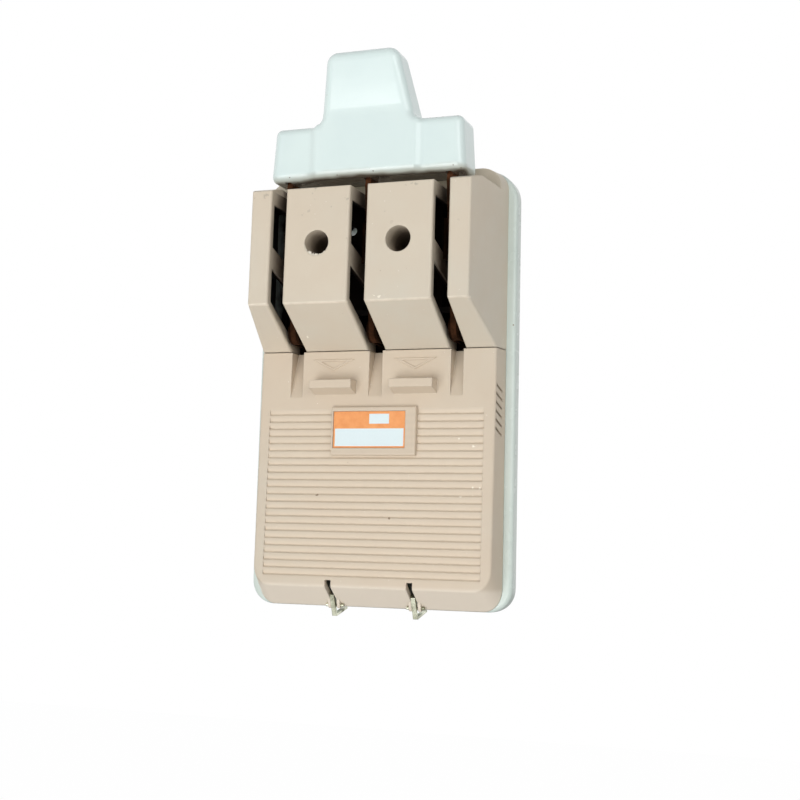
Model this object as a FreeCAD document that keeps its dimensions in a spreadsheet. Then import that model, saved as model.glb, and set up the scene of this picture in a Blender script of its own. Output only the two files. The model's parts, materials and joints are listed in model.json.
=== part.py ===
import FreeCAD, Part
import os
import re
import Sketcher

# Three-pole fused knife switch on a porcelain base.
# Frame: origin at the middle of the wall face of the base, X to the viewer's right,
# Y into the wall (the front looks along -Y), Z up. Lengths in mm, angles in degrees.
# "rise" always means the height of something above the front face of the base.

os.makedirs("parts", exist_ok=True)
doc = FreeCAD.newDocument("knife_switch")

SIZES = [
    # porcelain base
    ("base_width", 150.0, "porcelain base across"),
    ("base_height", 237.6, "porcelain base up and down"),
    ("base_thick", 18.0, "porcelain base, wall to front face"),
    ("base_edge", 7.5, "straight part of the base's rim"),
    ("base_undercut", 5.5, "how far the rim runs in towards the wall"),
    ("base_corner_top", 18.0, "corner radius, top"),
    ("base_corner_low", 13.0, "corner radius, bottom"),
    ("base_round", 2.2, "rounded front rim"),
    ("pole_in", 28.6, "outer poles, in from the base's sides"),
    ("trough_width", 27.0, "trough for one pole's metalwork"),
    ("trough_depth", 6.0, "depth of a trough"),
    ("trough_top_down", 5.5, "top end of the troughs"),
    ("trough_end_up", 8.6, "bottom end of the troughs"),
    ("fixing_top_down", 28.0, "upper wall fixings, height"),
    ("fixing_low_up", 37.6, "lower wall fixings, height"),
    ("fixing_hole", 5.5, "wall fixing hole, diameter"),
    ("fixing_sink", 11.0, "counterbore of a wall fixing, diameter"),
    ("fixing_sink_deep", 5.0, "counterbore of a wall fixing, depth"),
    ("cable_hole", 8.0, "cable hole through the base, diameter"),
    ("cable_aside", 8.8, "cable hole beside its pole's centre"),
    ("line_cable_down", 22.5, "line cable holes, height"),
    ("load_cable_up", 30.6, "load cable holes, height"),
    # covers
    ("cover_in", 5.0, "covers, in from the base's sides where they meet the base"),
    ("draft_angle", 9.65, "draft of the covers' side walls"),
    ("seam_z", 19.5, "joint between the two covers"),
    ("seam_gap", 0.5, "gap at that joint"),
    ("wall", 2.4, "wall thickness of the mouldings"),
    ("seam_rise", 11.8, "rise of both covers at the joint"),
    ("crease_rise", 45.0, "rise of the upper cover at its crease"),
    ("crease_z", 41.0, "height of the crease"),
    ("front_top_rise", 44.4, "rise of the upper cover at the top of its front"),
    ("dome_top_down", 14.8, "top of the two domes"),
    ("tongue_top_down", 11.4, "top of the two side walls"),
    ("skirt_rise", 9.3, "rise of the skirt behind the handle"),
    ("skirt_top_down", 0.6, "top of the skirt"),
    ("skirt_low_down", 13.1, "lower edge of the skirt's front"),
    ("skirt_corner", 11.0, "corner radius of the skirt"),
    ("slot_side", 8.7, "outer slots, width"),
    ("slot_centre", 9.6, "centre slot, width"),
    ("lip", 4.4, "depth of the lip along each slot"),
    ("web_top_down", 46.0, "brace across each slot wall, top at the lip"),
    ("web_wide", 11.5, "width of that brace"),
    ("web_fall", 11.0, "how far the brace falls towards the base"),
    ("window_top_down", 22.3, "top of the windows in the slot walls"),
    ("tie_gap", 4.0, "tie bar of the upper cover above the hinge clips"),
    ("tie_wide", 3.6, "tie bar, up and down"),
    ("tie_rise", 2.6, "tie bar, rise"),
    ("well_down", 45.6, "cover screws, height"),
    ("well_bore", 14.0, "screw well, bore"),
    ("well_wall", 2.2, "screw well, wall"),
    ("well_floor", 5.0, "screw well, rise of its floor"),
    ("cover_round", 1.5, "rounded front edges of the covers"),
    # fuse cover
    ("fuse_low_rise", 14.3, "rise of the fuse cover at the foot of its front"),
    ("fuse_low_up", 10.6, "foot of the fuse cover's front"),
    ("fuse_edge_up", 0.2, "bottom edge of the fuse cover"),
    ("fuse_corner", 11.0, "bottom corners of the fuse cover"),
    ("lift", 0.3, "gap under the moving fuse cover"),
    ("rib_in", 8.1, "ribbed panel, in from the foot of the cover's sides"),
    ("rib_top_z", -12.4, "ribbed panel, top"),
    ("rib_pitch", 3.95, "pitch of the ribs"),
    ("rib_stop", 4.0, "plain strip below the last rib, at least"),
    ("rib_deep", 1.0, "depth of the grooves between ribs"),
    ("rib_ledge", 0.8, "sloping upper side of a rib"),
    ("rib_land", 0.45, "flat crest of a rib"),
    ("groove_end_z", -6.0, "lower end of the blade grooves"),
    ("groove_side", 7.0, "outer blade grooves, width"),
    ("groove_centre", 7.6, "centre blade groove, width"),
    ("groove_slope", 20.0, "slope of a blade groove's floor"),
    ("groove_wall", 1.6, "wall round a blade groove"),
    ("ledge_half", 12.2, "finger ledge, half width"),
    ("ledge_out", 8.3, "finger ledge, how far it stands out"),
    ("ledge_top_z", 2.8, "finger ledge, top"),
    ("ledge_face", 4.4, "finger ledge, height of its front"),
    ("ledge_drop", 7.4, "finger ledge, height where it joins the cover"),
    ("vent_z", 0.7, "first vent"),
    ("vent_pitch", 4.6, "pitch of the vents"),
    ("vent_count", 6.0, "vents on each side"),
    ("vent_deep", 8.6, "how far a vent runs towards the base"),
    ("vent_fall", 3.6, "how far a vent falls on its way"),
    ("vent_wide", 1.5, "width of a vent"),
    ("frame_left", -23.9, "label frame, left"),
    ("frame_right", 24.9, "label frame, right"),
    ("frame_top_z", -11.6, "label frame, top"),
    ("frame_low_z", -37.8, "label frame, bottom"),
    ("frame_out", 2.6, "how far the label frame stands out"),
    ("card_left", -22.6, "card, left"),
    ("card_right", 18.8, "card, right"),
    ("card_top_z", -14.1, "card, top"),
    ("card_low_z", -33.8, "card, bottom"),
    ("card_sunk", 1.3, "card pocket, depth"),
    ("card_thick", 0.6, "card, thickness"),
    ("card_fit", 0.15, "card in its pocket, gap all round"),
    ("hook_slot", 3.4, "slots over the hinge hooks, width"),
    ("hook_slot_up", 14.2, "slots over the hinge hooks, top"),
    # fuse cover hinge
    ("hinge_rise", 2.8, "hinge pins, rise"),
    ("hinge_up", 0.8, "hinge pins, height"),
    ("hinge_pin", 1.8, "hinge pins, diameter"),
    ("hinge_ear", 1.7, "ears for the hinge pins, radius"),
    ("ear_wide", 1.7, "ears for the hinge pins, width"),
    ("pin_over", 1.7, "hinge pins, length beyond the ears"),
    ("hook_wide", 2.4, "hinge hooks, width of the strip"),
    ("hook_thick", 1.2, "hinge hooks, thickness of the strip"),
    ("hinge_play", 0.3, "hinge pins in their hooks, gap"),
    ("hook_drop", 5.8, "hinge hooks, lowest point below the pins"),
    ("hook_reach", 15.0, "hinge hooks, how far they run back under the base"),
    ("hook_foot_up", 25.6, "hinge hooks, top of the foot"),
    ("small_screw", 3.0, "hook and catch screws, diameter"),
    ("catch_in", 14.0, "spring catches, below the joint of the covers"),
    ("catch_high", 6.0, "spring catches, up and down"),
    ("catch_half", 4.0, "spring catches, half width of the foot"),
    ("catch_rise", 6.6, "spring catches, rise"),
    ("catch_thick", 0.7, "spring catches, thickness"),
    ("catch_play", 0.35, "spring catches, gap beside the tab"),
    ("tab_thick", 2.0, "tabs of the fuse cover between the catches, thickness"),
    # blades and handle
    ("pivot_rise", 13.6, "blade pivots, rise"),
    ("pivot_z", 29.8, "blade pivots, height"),
    ("pivot_pin", 5.0, "blade pivot pins, diameter"),
    ("blade_thick", 3.0, "blades, thickness"),
    ("blade_wide", 13.0, "blades, width"),
    ("blade_tang", 8.6, "blades, width inside the handle"),
    ("blade_lean", 8.5, "lean of the closed blades"),
    ("blade_in", 23.6, "blades, how far they reach into the handle"),
    ("tang_fit", 0.2, "blade tang in the handle, gap each side"),
    ("bar_over", 9.8, "handle, its ends beyond the outer poles"),
    ("bar_taper", 2.0, "handle, how much each end of the cross bar draws in on its way up"),
    ("handle_low_down", 8.6, "handle, underside"),
    ("bar_high", 30.7, "handle, height of the cross bar"),
    ("grip_high", 37.4, "handle, height of the grip"),
    ("handle_front", 39.0, "handle, rise of the front of its middle"),
    ("arm_back", 2.0, "handle, how far the arms' front lies behind its middle"),
    ("arm_start", 1.6, "handle, start of the slope between middle and arm, beyond the grip"),
    ("arm_slope", 4.0, "handle, width of that slope"),
    ("handle_back", 15.6, "handle, rise of its back"),
    ("grip_half_mid", 27.0, "grip, half width above the cross bar"),
    ("grip_half_top", 20.2, "grip, half width at the top"),
    ("grip_lean", 10.0, "grip, how far its top leans out"),
    ("grip_thin", 2.0, "grip, how much thinner its top is"),
    ("grip_step", 4.0, "grip, how far its back starts from the cross bar's back"),
    ("handle_round", 3.6, "rounded edges of the cross bar"),
    ("grip_round", 5.0, "rounded edges of the grip"),
    ("grip_top_round", 6.5, "rounded top of the grip"),
    ("shoulder_round", 5.0, "hollow corner between grip and cross bar"),
    ("foot_wide", 12.6, "blade foot, across"),
    ("foot_high", 14.0, "blade foot, up and down"),
    ("foot_thick", 2.4, "blade foot, thickness"),
    ("foot_rise", 14.6, "blade foot, middle above the handle's underside"),
    ("foot_screw_x", 7.2, "blade foot screw beside the blade"),
    ("insert_radius", 3.4, "brass inserts in the handle, radius"),
    ("insert_long", 9.0, "brass inserts in the handle, length"),
    # metalwork of one pole
    ("strip_thick", 2.0, "copper strips, thickness"),
    ("strip_wide", 13.0, "copper strips, width"),
    ("leaf_thick", 1.3, "contact leaves, thickness"),
    ("leaf_gap", 0.06, "contact leaf to blade"),
    ("jaw_down", 43.0, "line jaws, middle height"),
    ("jaw_high", 22.0, "line jaws, up and down"),
    ("jaw_rise", 27.5, "line jaws, rise"),
    ("jaw_flare", 1.0, "line jaws, flare of the mouth"),
    ("line_end_down", 6.1, "line strips, top end"),
    ("line_screw_down", 10.6, "line terminal screws, height"),
    ("clip_round", 6.4, "hinge clips, radius of the leaf"),
    ("clip_end_z", -13.8, "hinge clips, lower end"),
    ("fuse_top_z", -8.2, "upper fuse screws, height"),
    ("fuse_low_screw_up", 47.6, "lower fuse screws, height"),
    ("load_top_up", 55.1, "load strips, top end"),
    ("load_low_up", 11.1, "load strips, bottom end"),
    ("load_screw_up", 17.6, "load terminal screws, height"),
    ("link_wide", 9.5, "fuse links, width at the ends"),
    ("link_waist", 3.2, "fuse links, width of the waist"),
    ("link_thick", 0.8, "fuse links, thickness"),
    ("screw_bore", 5.0, "terminal screws, diameter"),
    ("screw_head", 9.0, "terminal screws, head diameter"),
    ("screw_head_high", 3.0, "terminal screws, head height"),
    ("screw_long", 9.5, "terminal screws, shank"),
    ("cover_screw_head", 10.5, "cover screws, head diameter"),
    ("cover_screw_long", 15.0, "cover screws, shank"),
    ("fit", 0.25, "clearance round screws and inserts"),
]
sheet = doc.addObject("Spreadsheet::Sheet", "Sizes")
for row, (alias, value, note) in enumerate(SIZES, 1):
    sheet.set("A%d" % row, alias)
    sheet.set("B%d" % row, str(value))
    sheet.setAlias("B%d" % row, alias)
    sheet.set("C%d" % row, note)
NAMES = {alias for alias, value, note in SIZES}
doc.recompute()

# Sizes that follow from others: the poles and covers keep their distance from the base's sides.
FOLLOWS = {
    "pole_pitch": "(base_width / 2 - pole_in)",
    "fixing_across": "pole_pitch",                           # the fixings are between the poles
    "well_x": "(pole_pitch / 2)",
    "ledge_x": "(pole_pitch / 2)",                           # also the hooks and catches
    "cover_half": "(base_width / 2 - cover_in)",
    "rib_half": "(cover_half - rib_in)",
    "rib_count": "floor((rib_top_z - fuse_low_z - rib_stop) / rib_pitch)",
    "handle_half": "(pole_pitch + bar_over)",
    "handle_bar_z": "(handle_low_z + bar_high)",
    "handle_top_z": "(handle_bar_z + grip_high)",
    "blade_top_z": "(handle_low_z + blade_in)",
    "foot_z": "(handle_low_z + foot_rise)",
    "hook_low_z": "(hinge_z - hook_drop)",
    "catch_z": "(seam_z - catch_in)"}
# A height whose size ends in _down is measured from the base's top edge, in _up from its bottom edge.
for alias in NAMES:
    if alias.endswith("_down"):
        FOLLOWS[alias[:-5] + "_z"] = "(base_height / 2 - %s)" % alias
    if alias.endswith("_up"):
        FOLLOWS[alias[:-3] + "_z"] = "(%s - base_height / 2)" % alias

# Heights and depths that several pieces share, as formulas of the sheet.
FRONT = "(0 - base_thick)"                                   # front face of the base, as Y
FLOOR = "(trough_depth - base_thick)"                        # floor of a trough, as Y
STRIP = "(%s - strip_thick)" % FLOOR                         # top of a copper strip, as Y
FUSE_LEAN = "((fuse_low_rise - seam_rise) / (seam_z - fuse_low_z))"
FUSE_TOP = "(seam_z - seam_gap / 2)"
DRAFT = "tan(draft_angle * 1 deg)"
TAN_BLADE = "tan(blade_lean * 1 deg)"
WORD = r"[a-z][a-z_]+"


def link(text):
    """A formula of the sheet's names, as the other objects refer to it."""
    while any(word in FOLLOWS for word in re.findall(WORD, text)):
        text = re.sub(WORD, lambda w: FOLLOWS.get(w.group(), w.group()), text)
    return re.sub(WORD, lambda w: "Sizes." + w.group() if w.group() in NAMES else w.group(), text)


def num(text):
    return float(sheet.evalExpression(link(text)))


def y_at(rise):
    return "(0 - base_thick - %s)" % rise


def fuse_rise(z):
    """Rise of the fuse cover's leaning front at a height."""
    return "(seam_rise + (seam_z - %s) * %s)" % (z, FUSE_LEAN)


def blade_y(z):
    """Middle of the closed blades at a height, as Y."""
    return "(0 - base_thick - pivot_rise - (%s - pivot_z) * %s)" % (z, TAN_BLADE)


def body(label):
    made = doc.addObject("PartDesign::Body", label)
    made.Label = label
    return made


def sketch(piece, name, role, offset="0"):
    """A sketch on one of the body's own origin planes, moved along its normal.

    XZ_Plane looks along -Y, so its offset is minus Y; YZ_Plane's offset is X, XY_Plane's is Z."""
    made = piece.newObject("Sketcher::SketchObject", name)
    plane = [f for f in piece.Origin.OriginFeatures if f.Role == role][0]
    made.AttachmentSupport = [(plane, "")]
    made.MapMode = "FlatFace"
    made.setExpression("AttachmentOffset.Base.z", link(offset))
    return made


def hold(sk, kind, geo, point, text, tag):
    at = sk.addConstraint(Sketcher.Constraint(kind, -1, 1, geo, point, num(text)))
    name = "%s_%s" % (tag, at)
    sk.renameConstraint(at, name)
    sk.setExpression("Constraints." + name, link(text))


def outline(sk, points):
    """A closed outline whose corners are held by formulas."""
    first = sk.GeometryCount
    at = [FreeCAD.Vector(num(u), num(v), 0) for u, v in points]
    n = len(at)
    sk.addGeometry([Part.LineSegment(at[i], at[(i + 1) % n]) for i in range(n)], False)
    for i in range(n):
        sk.addConstraint(Sketcher.Constraint("Coincident", first + i, 2, first + (i + 1) % n, 1))
    for i, (u, v) in enumerate(points):
        hold(sk, "DistanceX", first + i, 1, u, "across")
        hold(sk, "DistanceY", first + i, 1, v, "along")
    return sk


def box(sk, u0, u1, v0, v1):
    return outline(sk, [(u0, v0), (u1, v0), (u1, v1), (u0, v1)])


def ring(sk, u, v, radius):
    geo = sk.addGeometry(Part.Circle(FreeCAD.Vector(num(u), num(v), 0), FreeCAD.Vector(0, 0, 1),
                                     num(radius)), False)
    hold(sk, "DistanceX", geo, 3, u, "across")
    hold(sk, "DistanceY", geo, 3, v, "along")
    at = sk.addConstraint(Sketcher.Constraint("Radius", geo, num(radius)))
    sk.renameConstraint(at, "radius_%d" % at)
    sk.setExpression("Constraints.radius_%d" % at, link(radius))
    return sk


def feature(piece, kind, name, profile, length=None, both=False, back=False):
    """A pad or pocket; both spreads it evenly to the two sides, back turns it round."""
    before = piece.Tip.Shape.Volume if piece.Tip and piece.Tip.Shape.Solids else 0.0
    made = piece.newObject("PartDesign::" + kind, name)
    made.Profile = profile
    made.SideType = "Symmetric" if both else "One side"
    made.Reversed = back
    made.setExpression("Length", link(length))
    doc.recompute()
    after = made.Shape.Volume
    if (kind == "Pad" and after <= before) or (kind == "Pocket" and after >= before):
        raise RuntimeError("%s of %s changes nothing: %.1f to %.1f" % (name, piece.Label, before, after))
    return made


def edges(shape, test):
    return ["Edge%d" % (i + 1) for i, e in enumerate(shape.Edges) if test(e)]


def soften(piece, name, radius, test, kind="Fillet"):
    base = piece.Tip
    names = edges(base.Shape, test)
    if not names:
        raise RuntimeError("no edge for %s of %s" % (name, piece.Label))
    made = piece.newObject("PartDesign::" + kind, name)
    made.Base = (base, names)
    made.setExpression("Radius" if kind == "Fillet" else "Size", link(radius))
    doc.recompute()
    return made


def taper_sides(piece, rear, front):
    """Cuts the block's two sides so that they close in from one rise to another, by the draft angle."""
    wedges = sketch(piece, "SideTaper", "XY_Plane")
    for sign in ("0 - ", ""):
        outline(wedges, [
            (sign + "(cover_half + %s * %s)" % (rear, DRAFT), y_at(rear)),
            (sign + "(cover_half - %s * %s)" % (front, DRAFT), y_at(front)),
            (sign + "(cover_half + 5)", y_at(front)), (sign + "(cover_half + 5)", y_at(rear))])
    return feature(piece, "Pocket", "SideTaperCut", wedges, "3 * base_height", both=True)


def is_line(e, x=None, y=None, z=None, along=None, tol=0.02):
    """A straight edge inside the given ranges, along one axis where that is asked."""
    b = e.BoundBox
    for low, high, want in ((b.XMin, b.XMax, x), (b.YMin, b.YMax, y), (b.ZMin, b.ZMax, z)):
        if want is not None and (low < want[0] - tol or high > want[1] + tol):
            return False
    spans = {"x": b.XLength, "y": b.YLength, "z": b.ZLength}
    if along and (spans.pop(along) < 0.5 or max(spans.values()) > tol):
        return False
    return True


POLES = [("left", "(0 - pole_pitch)"), ("centre", "0"), ("right", "pole_pitch")]
FOOT = {"left": "+", "centre": "+", "right": "-"}             # where each blade's foot points
SIDES = [("left", "0 -"), ("right", "")]


def foot_at(side, x, aside):
    return "(%s %s %s)" % (x, FOOT[side], aside)


def signed(sign, text):
    return "(%s %s)" % (sign, text) if sign else text


# Porcelain base: a plate whose rim runs in towards the wall, with a trough for each pole.
base = body("porcelain_base")
half_w, half_h = "(base_width / 2)", "(base_height / 2)"
rear = box(sketch(base, "WallFace", "XZ_Plane"), "base_undercut - " + half_w, half_w + " - base_undercut",
           "base_undercut - " + half_h, half_h + " - base_undercut")
front = box(sketch(base, "RimStart", "XZ_Plane", "base_thick - base_edge"), "0 - " + half_w, half_w,
            "0 - " + half_h, half_h)
taper = base.newObject("PartDesign::AdditiveLoft", "Undercut")
taper.Profile = rear
taper.Sections = [front]
taper.Ruled = True
doc.recompute()
rim = box(sketch(base, "Rim", "XZ_Plane", "base_thick - base_edge"), "0 - " + half_w, half_w,
          "0 - " + half_h, half_h)
feature(base, "Pad", "FrontPlate", rim, "base_edge")


def corner_edge(e, top):
    b = e.BoundBox
    near = abs(abs(b.Center.x) - num("base_width / 2")) < num("base_undercut")
    high = abs(b.Center.z - (1 if top else -1) * num("base_height / 2")) < num("base_undercut")
    return near and high and b.YLength > 1


soften(base, "TopCorners", "base_corner_top", lambda e: corner_edge(e, True))
soften(base, "LowCorners", "base_corner_low", lambda e: corner_edge(e, False))
soften(base, "FrontRound", "base_round",
       lambda e: abs(e.BoundBox.YMax + num("base_thick")) < 1e-4 and e.BoundBox.YLength < 1e-4)
face = sketch(base, "Troughs", "XZ_Plane", "base_thick")
for side, x in POLES:
    box(face, x + " - trough_width / 2", x + " + trough_width / 2", "trough_end_z", "trough_top_z")
feature(base, "Pocket", "PoleTroughs", face, "trough_depth")
soften(base, "TroughCorners", "2 * strip_thick",
       lambda e: is_line(e, y=(-num("base_thick"), -num("base_thick - trough_depth")), along="y"))
holes = sketch(base, "CableHoles", "XZ_Plane", "base_thick")
for side, x in POLES:
    ring(holes, x + " + cable_aside", "line_cable_z", "cable_hole / 2")
    ring(holes, x + " + cable_aside", "load_cable_z", "cable_hole / 2")
feature(base, "Pocket", "CableWays", holes, "base_thick + 1")
spots = sketch(base, "Fixings", "XZ_Plane", "base_thick")
for sign in ("0 - ", ""):
    for z in ("fixing_top_z", "fixing_low_z"):
        ring(spots, sign + "fixing_across / 2", z, "fixing_hole / 2")
doc.recompute()
fixing = base.newObject("PartDesign::Hole", "WallFixings")
fixing.Profile = spots
fixing.ThreadType = "None"
fixing.DepthType = "ThroughAll"
fixing.setExpression("Diameter", link("fixing_hole"))
fixing.HoleCutType = "Counterbore"
fixing.HoleCutCustomValues = True
fixing.setExpression("HoleCutDiameter", link("fixing_sink"))
fixing.setExpression("HoleCutDepth", link("fixing_sink_deep"))
doc.recompute()
# Blind holes under the terminal screws, and from the wall face for the screws that hold the strips.
TERMINALS = ["line_screw_z", "fuse_top_z", "fuse_low_screw_z", "load_screw_z"]
ANCHORS = ["jaw_z", "(pivot_z - 16)", "((fuse_low_screw_z + load_screw_z) / 2 + 5)"]
blind = sketch(base, "TerminalHoles", "XZ_Plane", "base_thick - trough_depth")
for side, x in POLES:
    for z in TERMINALS:
        ring(blind, x, z, "screw_bore / 2 + fit")
feature(base, "Pocket", "TerminalBores", blind, "screw_long")
through = sketch(base, "AnchorHoles", "XZ_Plane", "base_thick - trough_depth")
for side, x in POLES:
    for z in ANCHORS:
        ring(through, x, z, "small_screw / 2 + fit")
feature(base, "Pocket", "AnchorBores", through, "base_thick")
sink = sketch(base, "AnchorSinks", "XZ_Plane", "0")
for side, x in POLES:
    for z in ANCHORS:
        ring(sink, x, z, "small_screw + fit")
feature(base, "Pocket", "AnchorRecesses", sink, "small_screw + 1", back=True)
seats = sketch(base, "SmallHoles", "XZ_Plane", "base_thick")
for sign in ("0 - ", ""):
    ring(seats, sign + "well_x", "well_z", "insert_radius")
feature(base, "Pocket", "InsertSeats", seats, "insert_long + 2")
small = sketch(base, "HookHoles", "XZ_Plane", "base_thick")
for sign in ("0 - ", ""):
    for z in ("hook_foot_z - hook_wide", "catch_z"):
        ring(small, sign + "ledge_x", z, "small_screw / 2 + fit")
feature(base, "Pocket", "HookBores", small, "3 * small_screw")

# Upper cover: one moulding of two domes and two side boxes with slots for the blades between them.
cover = body("upper_cover")
profile = outline(sketch(cover, "SideView", "YZ_Plane"), [
    (FRONT, "seam_z + seam_gap / 2"),
    (y_at("seam_rise"), "seam_z + seam_gap / 2"),
    (y_at("crease_rise"), "crease_z"),
    (y_at("front_top_rise"), "tongue_top_z - 3.8"),
    (y_at("(front_top_rise - 4)"), "tongue_top_z - 2.1"),
    (y_at("(front_top_rise * 0.72)"), "tongue_top_z"),
    (y_at("(front_top_rise * 0.36)"), "tongue_top_z - 1"),
    (y_at("skirt_rise"), "skirt_low_z"),
    (y_at("skirt_rise"), "skirt_top_z - 0.4"),
    (FRONT, "skirt_top_z")])
feature(cover, "Pad", "Block", profile, "2 * cover_half", both=True)
taper_sides(cover, "0", "(crease_rise + 1)")
top = num("skirt_top_z")
soften(cover, "SkirtCorners", "skirt_corner",
       lambda e: e.BoundBox.ZMin > top - 1 and e.BoundBox.YLength > 5 and e.BoundBox.XLength < 5)
# The inner side boxes and domes are separate towers: positions of the slot edges across.
OUT_IN = "(pole_pitch + slot_side / 2)"       # slot edge on the side box
DOME_OUT = "(pole_pitch - slot_side / 2)"     # slot edge on the dome, outer
DOME_IN = "(slot_centre / 2)"                 # slot edge on the dome, inner
lower = sketch(cover, "DomeTops", "XZ_Plane", "base_thick + crease_rise + 1")
box(lower, "0 - " + OUT_IN, OUT_IN, "dome_top_z", "skirt_top_z + 5")
feature(cover, "Pocket", "LowerDomeTops", lower, "crease_rise + 1 - skirt_rise")
slots = sketch(cover, "Slots", "XZ_Plane", "base_thick + crease_rise + 1")
for a, b in (("0 - " + OUT_IN, "0 - " + DOME_OUT), ("0 - " + DOME_IN, DOME_IN), (DOME_OUT, OUT_IN)):
    box(slots, a, b, "seam_z - 1", "skirt_low_z + 8")
feature(cover, "Pocket", "BladeSlots", slots, "crease_rise + 1 - skirt_rise")
through_slots = sketch(cover, "SlotFloors", "XZ_Plane", "base_thick + skirt_rise + 1")
for a, b in (("0 - " + OUT_IN, "0 - " + DOME_OUT), ("0 - " + DOME_IN, DOME_IN), (DOME_OUT, OUT_IN)):
    box(through_slots, a, b, "seam_z - 1", "dome_top_z - wall")
feature(cover, "Pocket", "SlotsThrough", through_slots, "skirt_rise + 2")


def front_edge(e):
    """Outer edges of the fronts and slopes, and along the slots."""
    b = e.BoundBox
    if b.YMax > num(y_at("seam_rise")) + 0.01 or b.ZLength < 5 or b.XLength > 6.5:
        return False
    return b.ZMax < num("dome_top_z") + 0.1


soften(cover, "FrontRounds", "cover_round", front_edge)
# Hollow domes: the side view, one wall thinner all round, between the dome's two slot walls.
inner = [
    ("0 - base_thick + 1", "seam_z + seam_gap / 2 + wall"),
    (y_at("(seam_rise - wall)"), "seam_z + seam_gap / 2 + wall"),
    (y_at("(crease_rise - wall)"), "crease_z + wall / 2"),
    (y_at("(front_top_rise - wall)"), "dome_top_z - wall"),
    ("0 - base_thick + 1", "dome_top_z - wall")]
for side, sign in SIDES:
    middle = signed(sign, "((pole_pitch - slot_side / 2 + slot_centre / 2) / 2)")
    hollow = outline(sketch(cover, side + "_dome_hollow", "YZ_Plane", middle), inner)
    feature(cover, "Pocket", side + "_dome", hollow,
            "pole_pitch - slot_side / 2 - slot_centre / 2 - 2 * wall", both=True)
# Hollow side boxes, narrower towards the front like their outer walls.
for side, sign in SIDES:
    near = box(sketch(cover, side + "_box_foot", "XZ_Plane", "base_thick - 1"),
               signed(sign, "(pole_pitch + slot_side / 2 + wall)"),
               signed(sign, "(cover_half - wall)"), "seam_z + seam_gap / 2 + wall", "dome_top_z - wall")
    far = box(sketch(cover, side + "_box_head", "XZ_Plane", "base_thick + crease_rise - wall"),
              signed(sign, "(pole_pitch + slot_side / 2 + wall)"),
              signed(sign, "(cover_half - wall - (crease_rise - wall) * %s)" % DRAFT),
              "crease_z + wall", "dome_top_z - wall")
    cut = cover.newObject("PartDesign::SubtractiveLoft", side + "_box")
    cut.Profile = near
    cut.Sections = [far]
    cut.Ruled = True
    doc.recompute()
skirt = sketch(cover, "SkirtHollow", "XZ_Plane", "base_thick")
box(skirt, "0 - (cover_half - skirt_corner / 2 - wall)", "cover_half - skirt_corner / 2 - wall",
    "skirt_low_z + wall / 2", "skirt_top_z - wall")
feature(cover, "Pocket", "SkirtInside", skirt, "skirt_rise - wall", back=True)
# Windows in the slot walls leave a lip at the front and a sloping brace.
LIP = y_at("(crease_rise - lip)")
SILL = y_at("(tie_rise + wall / 2)")
windows = sketch(cover, "Windows", "YZ_Plane")
outline(windows, [(LIP, "web_top_z"), (LIP, "window_top_z"), (SILL, "window_top_z"),
                  (SILL, "web_top_z - web_fall")])
outline(windows, [(LIP, "crease_z + 2"), (LIP, "web_top_z - web_wide"),
                  (SILL, "web_top_z - web_wide - web_fall"),
                  (SILL, "seam_z + seam_gap / 2 + 2 * wall"),
                  (y_at("(seam_rise - lip)"), "seam_z + seam_gap / 2 + 2 * wall")])
feature(cover, "Pocket", "SlotWindows", windows, "2 * (pole_pitch + slot_side / 2 + wall + 0.5)", both=True)
# Screw wells, and a tie bar low down that joins the boxes across the slots.
for side, sign in SIDES:
    x = signed(sign, "well_x")
    tube = ring(sketch(cover, side + "_well_tube", "XZ_Plane", "base_thick"), x, "well_z",
                "well_bore / 2 + well_wall")
    feature(cover, "Pad", side + "_well", tube, "crease_rise - wall - 0.1")
TIE = "(pivot_z + clip_round + tie_gap + tie_wide / 2)"
tie = box(sketch(cover, "TieBar", "XZ_Plane", "base_thick"), "0 - " + OUT_IN + " - wall / 2",
          OUT_IN + " + wall / 2", TIE + " - tie_wide / 2", TIE + " + tie_wide / 2")
feature(cover, "Pad", "Tie", tie, "tie_rise")
for side, sign in SIDES:
    x = signed(sign, "well_x")
    bore = ring(sketch(cover, side + "_well_bore", "XZ_Plane", "base_thick + crease_rise + 1"), x, "well_z",
                "well_bore / 2")
    feature(cover, "Pocket", side + "_bore", bore, "crease_rise + 1 - well_floor")
    hole = ring(sketch(cover, side + "_well_hole", "XZ_Plane", "base_thick + well_floor + 1"), x, "well_z",
                "screw_bore / 2 + fit")
    feature(cover, "Pocket", side + "_hole", hole, "well_floor + 2")

# Fuse cover: a shallow drafted lid with a bevelled foot, ribs, finger ledges and a label frame.
lid = body("fuse_cover")
LIFT = y_at("lift")
profile = outline(sketch(lid, "SideView", "YZ_Plane"), [
    (LIFT, FUSE_TOP), (y_at("seam_rise"), FUSE_TOP),
    (y_at("fuse_low_rise"), "fuse_low_z"), (LIFT, "fuse_edge_z")])
feature(lid, "Pad", "Block", profile, "2 * cover_half", both=True)
taper_sides(lid, "0", "(fuse_low_rise + 1)")
hollow = outline(sketch(lid, "Inside", "YZ_Plane"), [
    ("0 - base_thick + 1", FUSE_TOP + " - wall"),
    (y_at("(seam_rise - wall)"), FUSE_TOP + " - wall"),
    (y_at("(fuse_low_rise - wall)"), "fuse_low_z + wall"),
    (LIFT, "fuse_edge_z + 1.6 * wall"),
    ("0 - base_thick + 1", "fuse_edge_z + 1.6 * wall")])
feature(lid, "Pocket", "Hollow", hollow,
        "2 * (cover_half - wall - (fuse_low_rise - wall) * %s)" % DRAFT, both=True)
soften(lid, "InsideCorners", "fuse_corner - wall",
       lambda e: e.BoundBox.ZMax < num("fuse_low_z + wall") + 0.2 and e.BoundBox.XLength < 0.01
       and e.BoundBox.YLength > 5 and abs(e.BoundBox.XMin) > 50)
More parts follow.
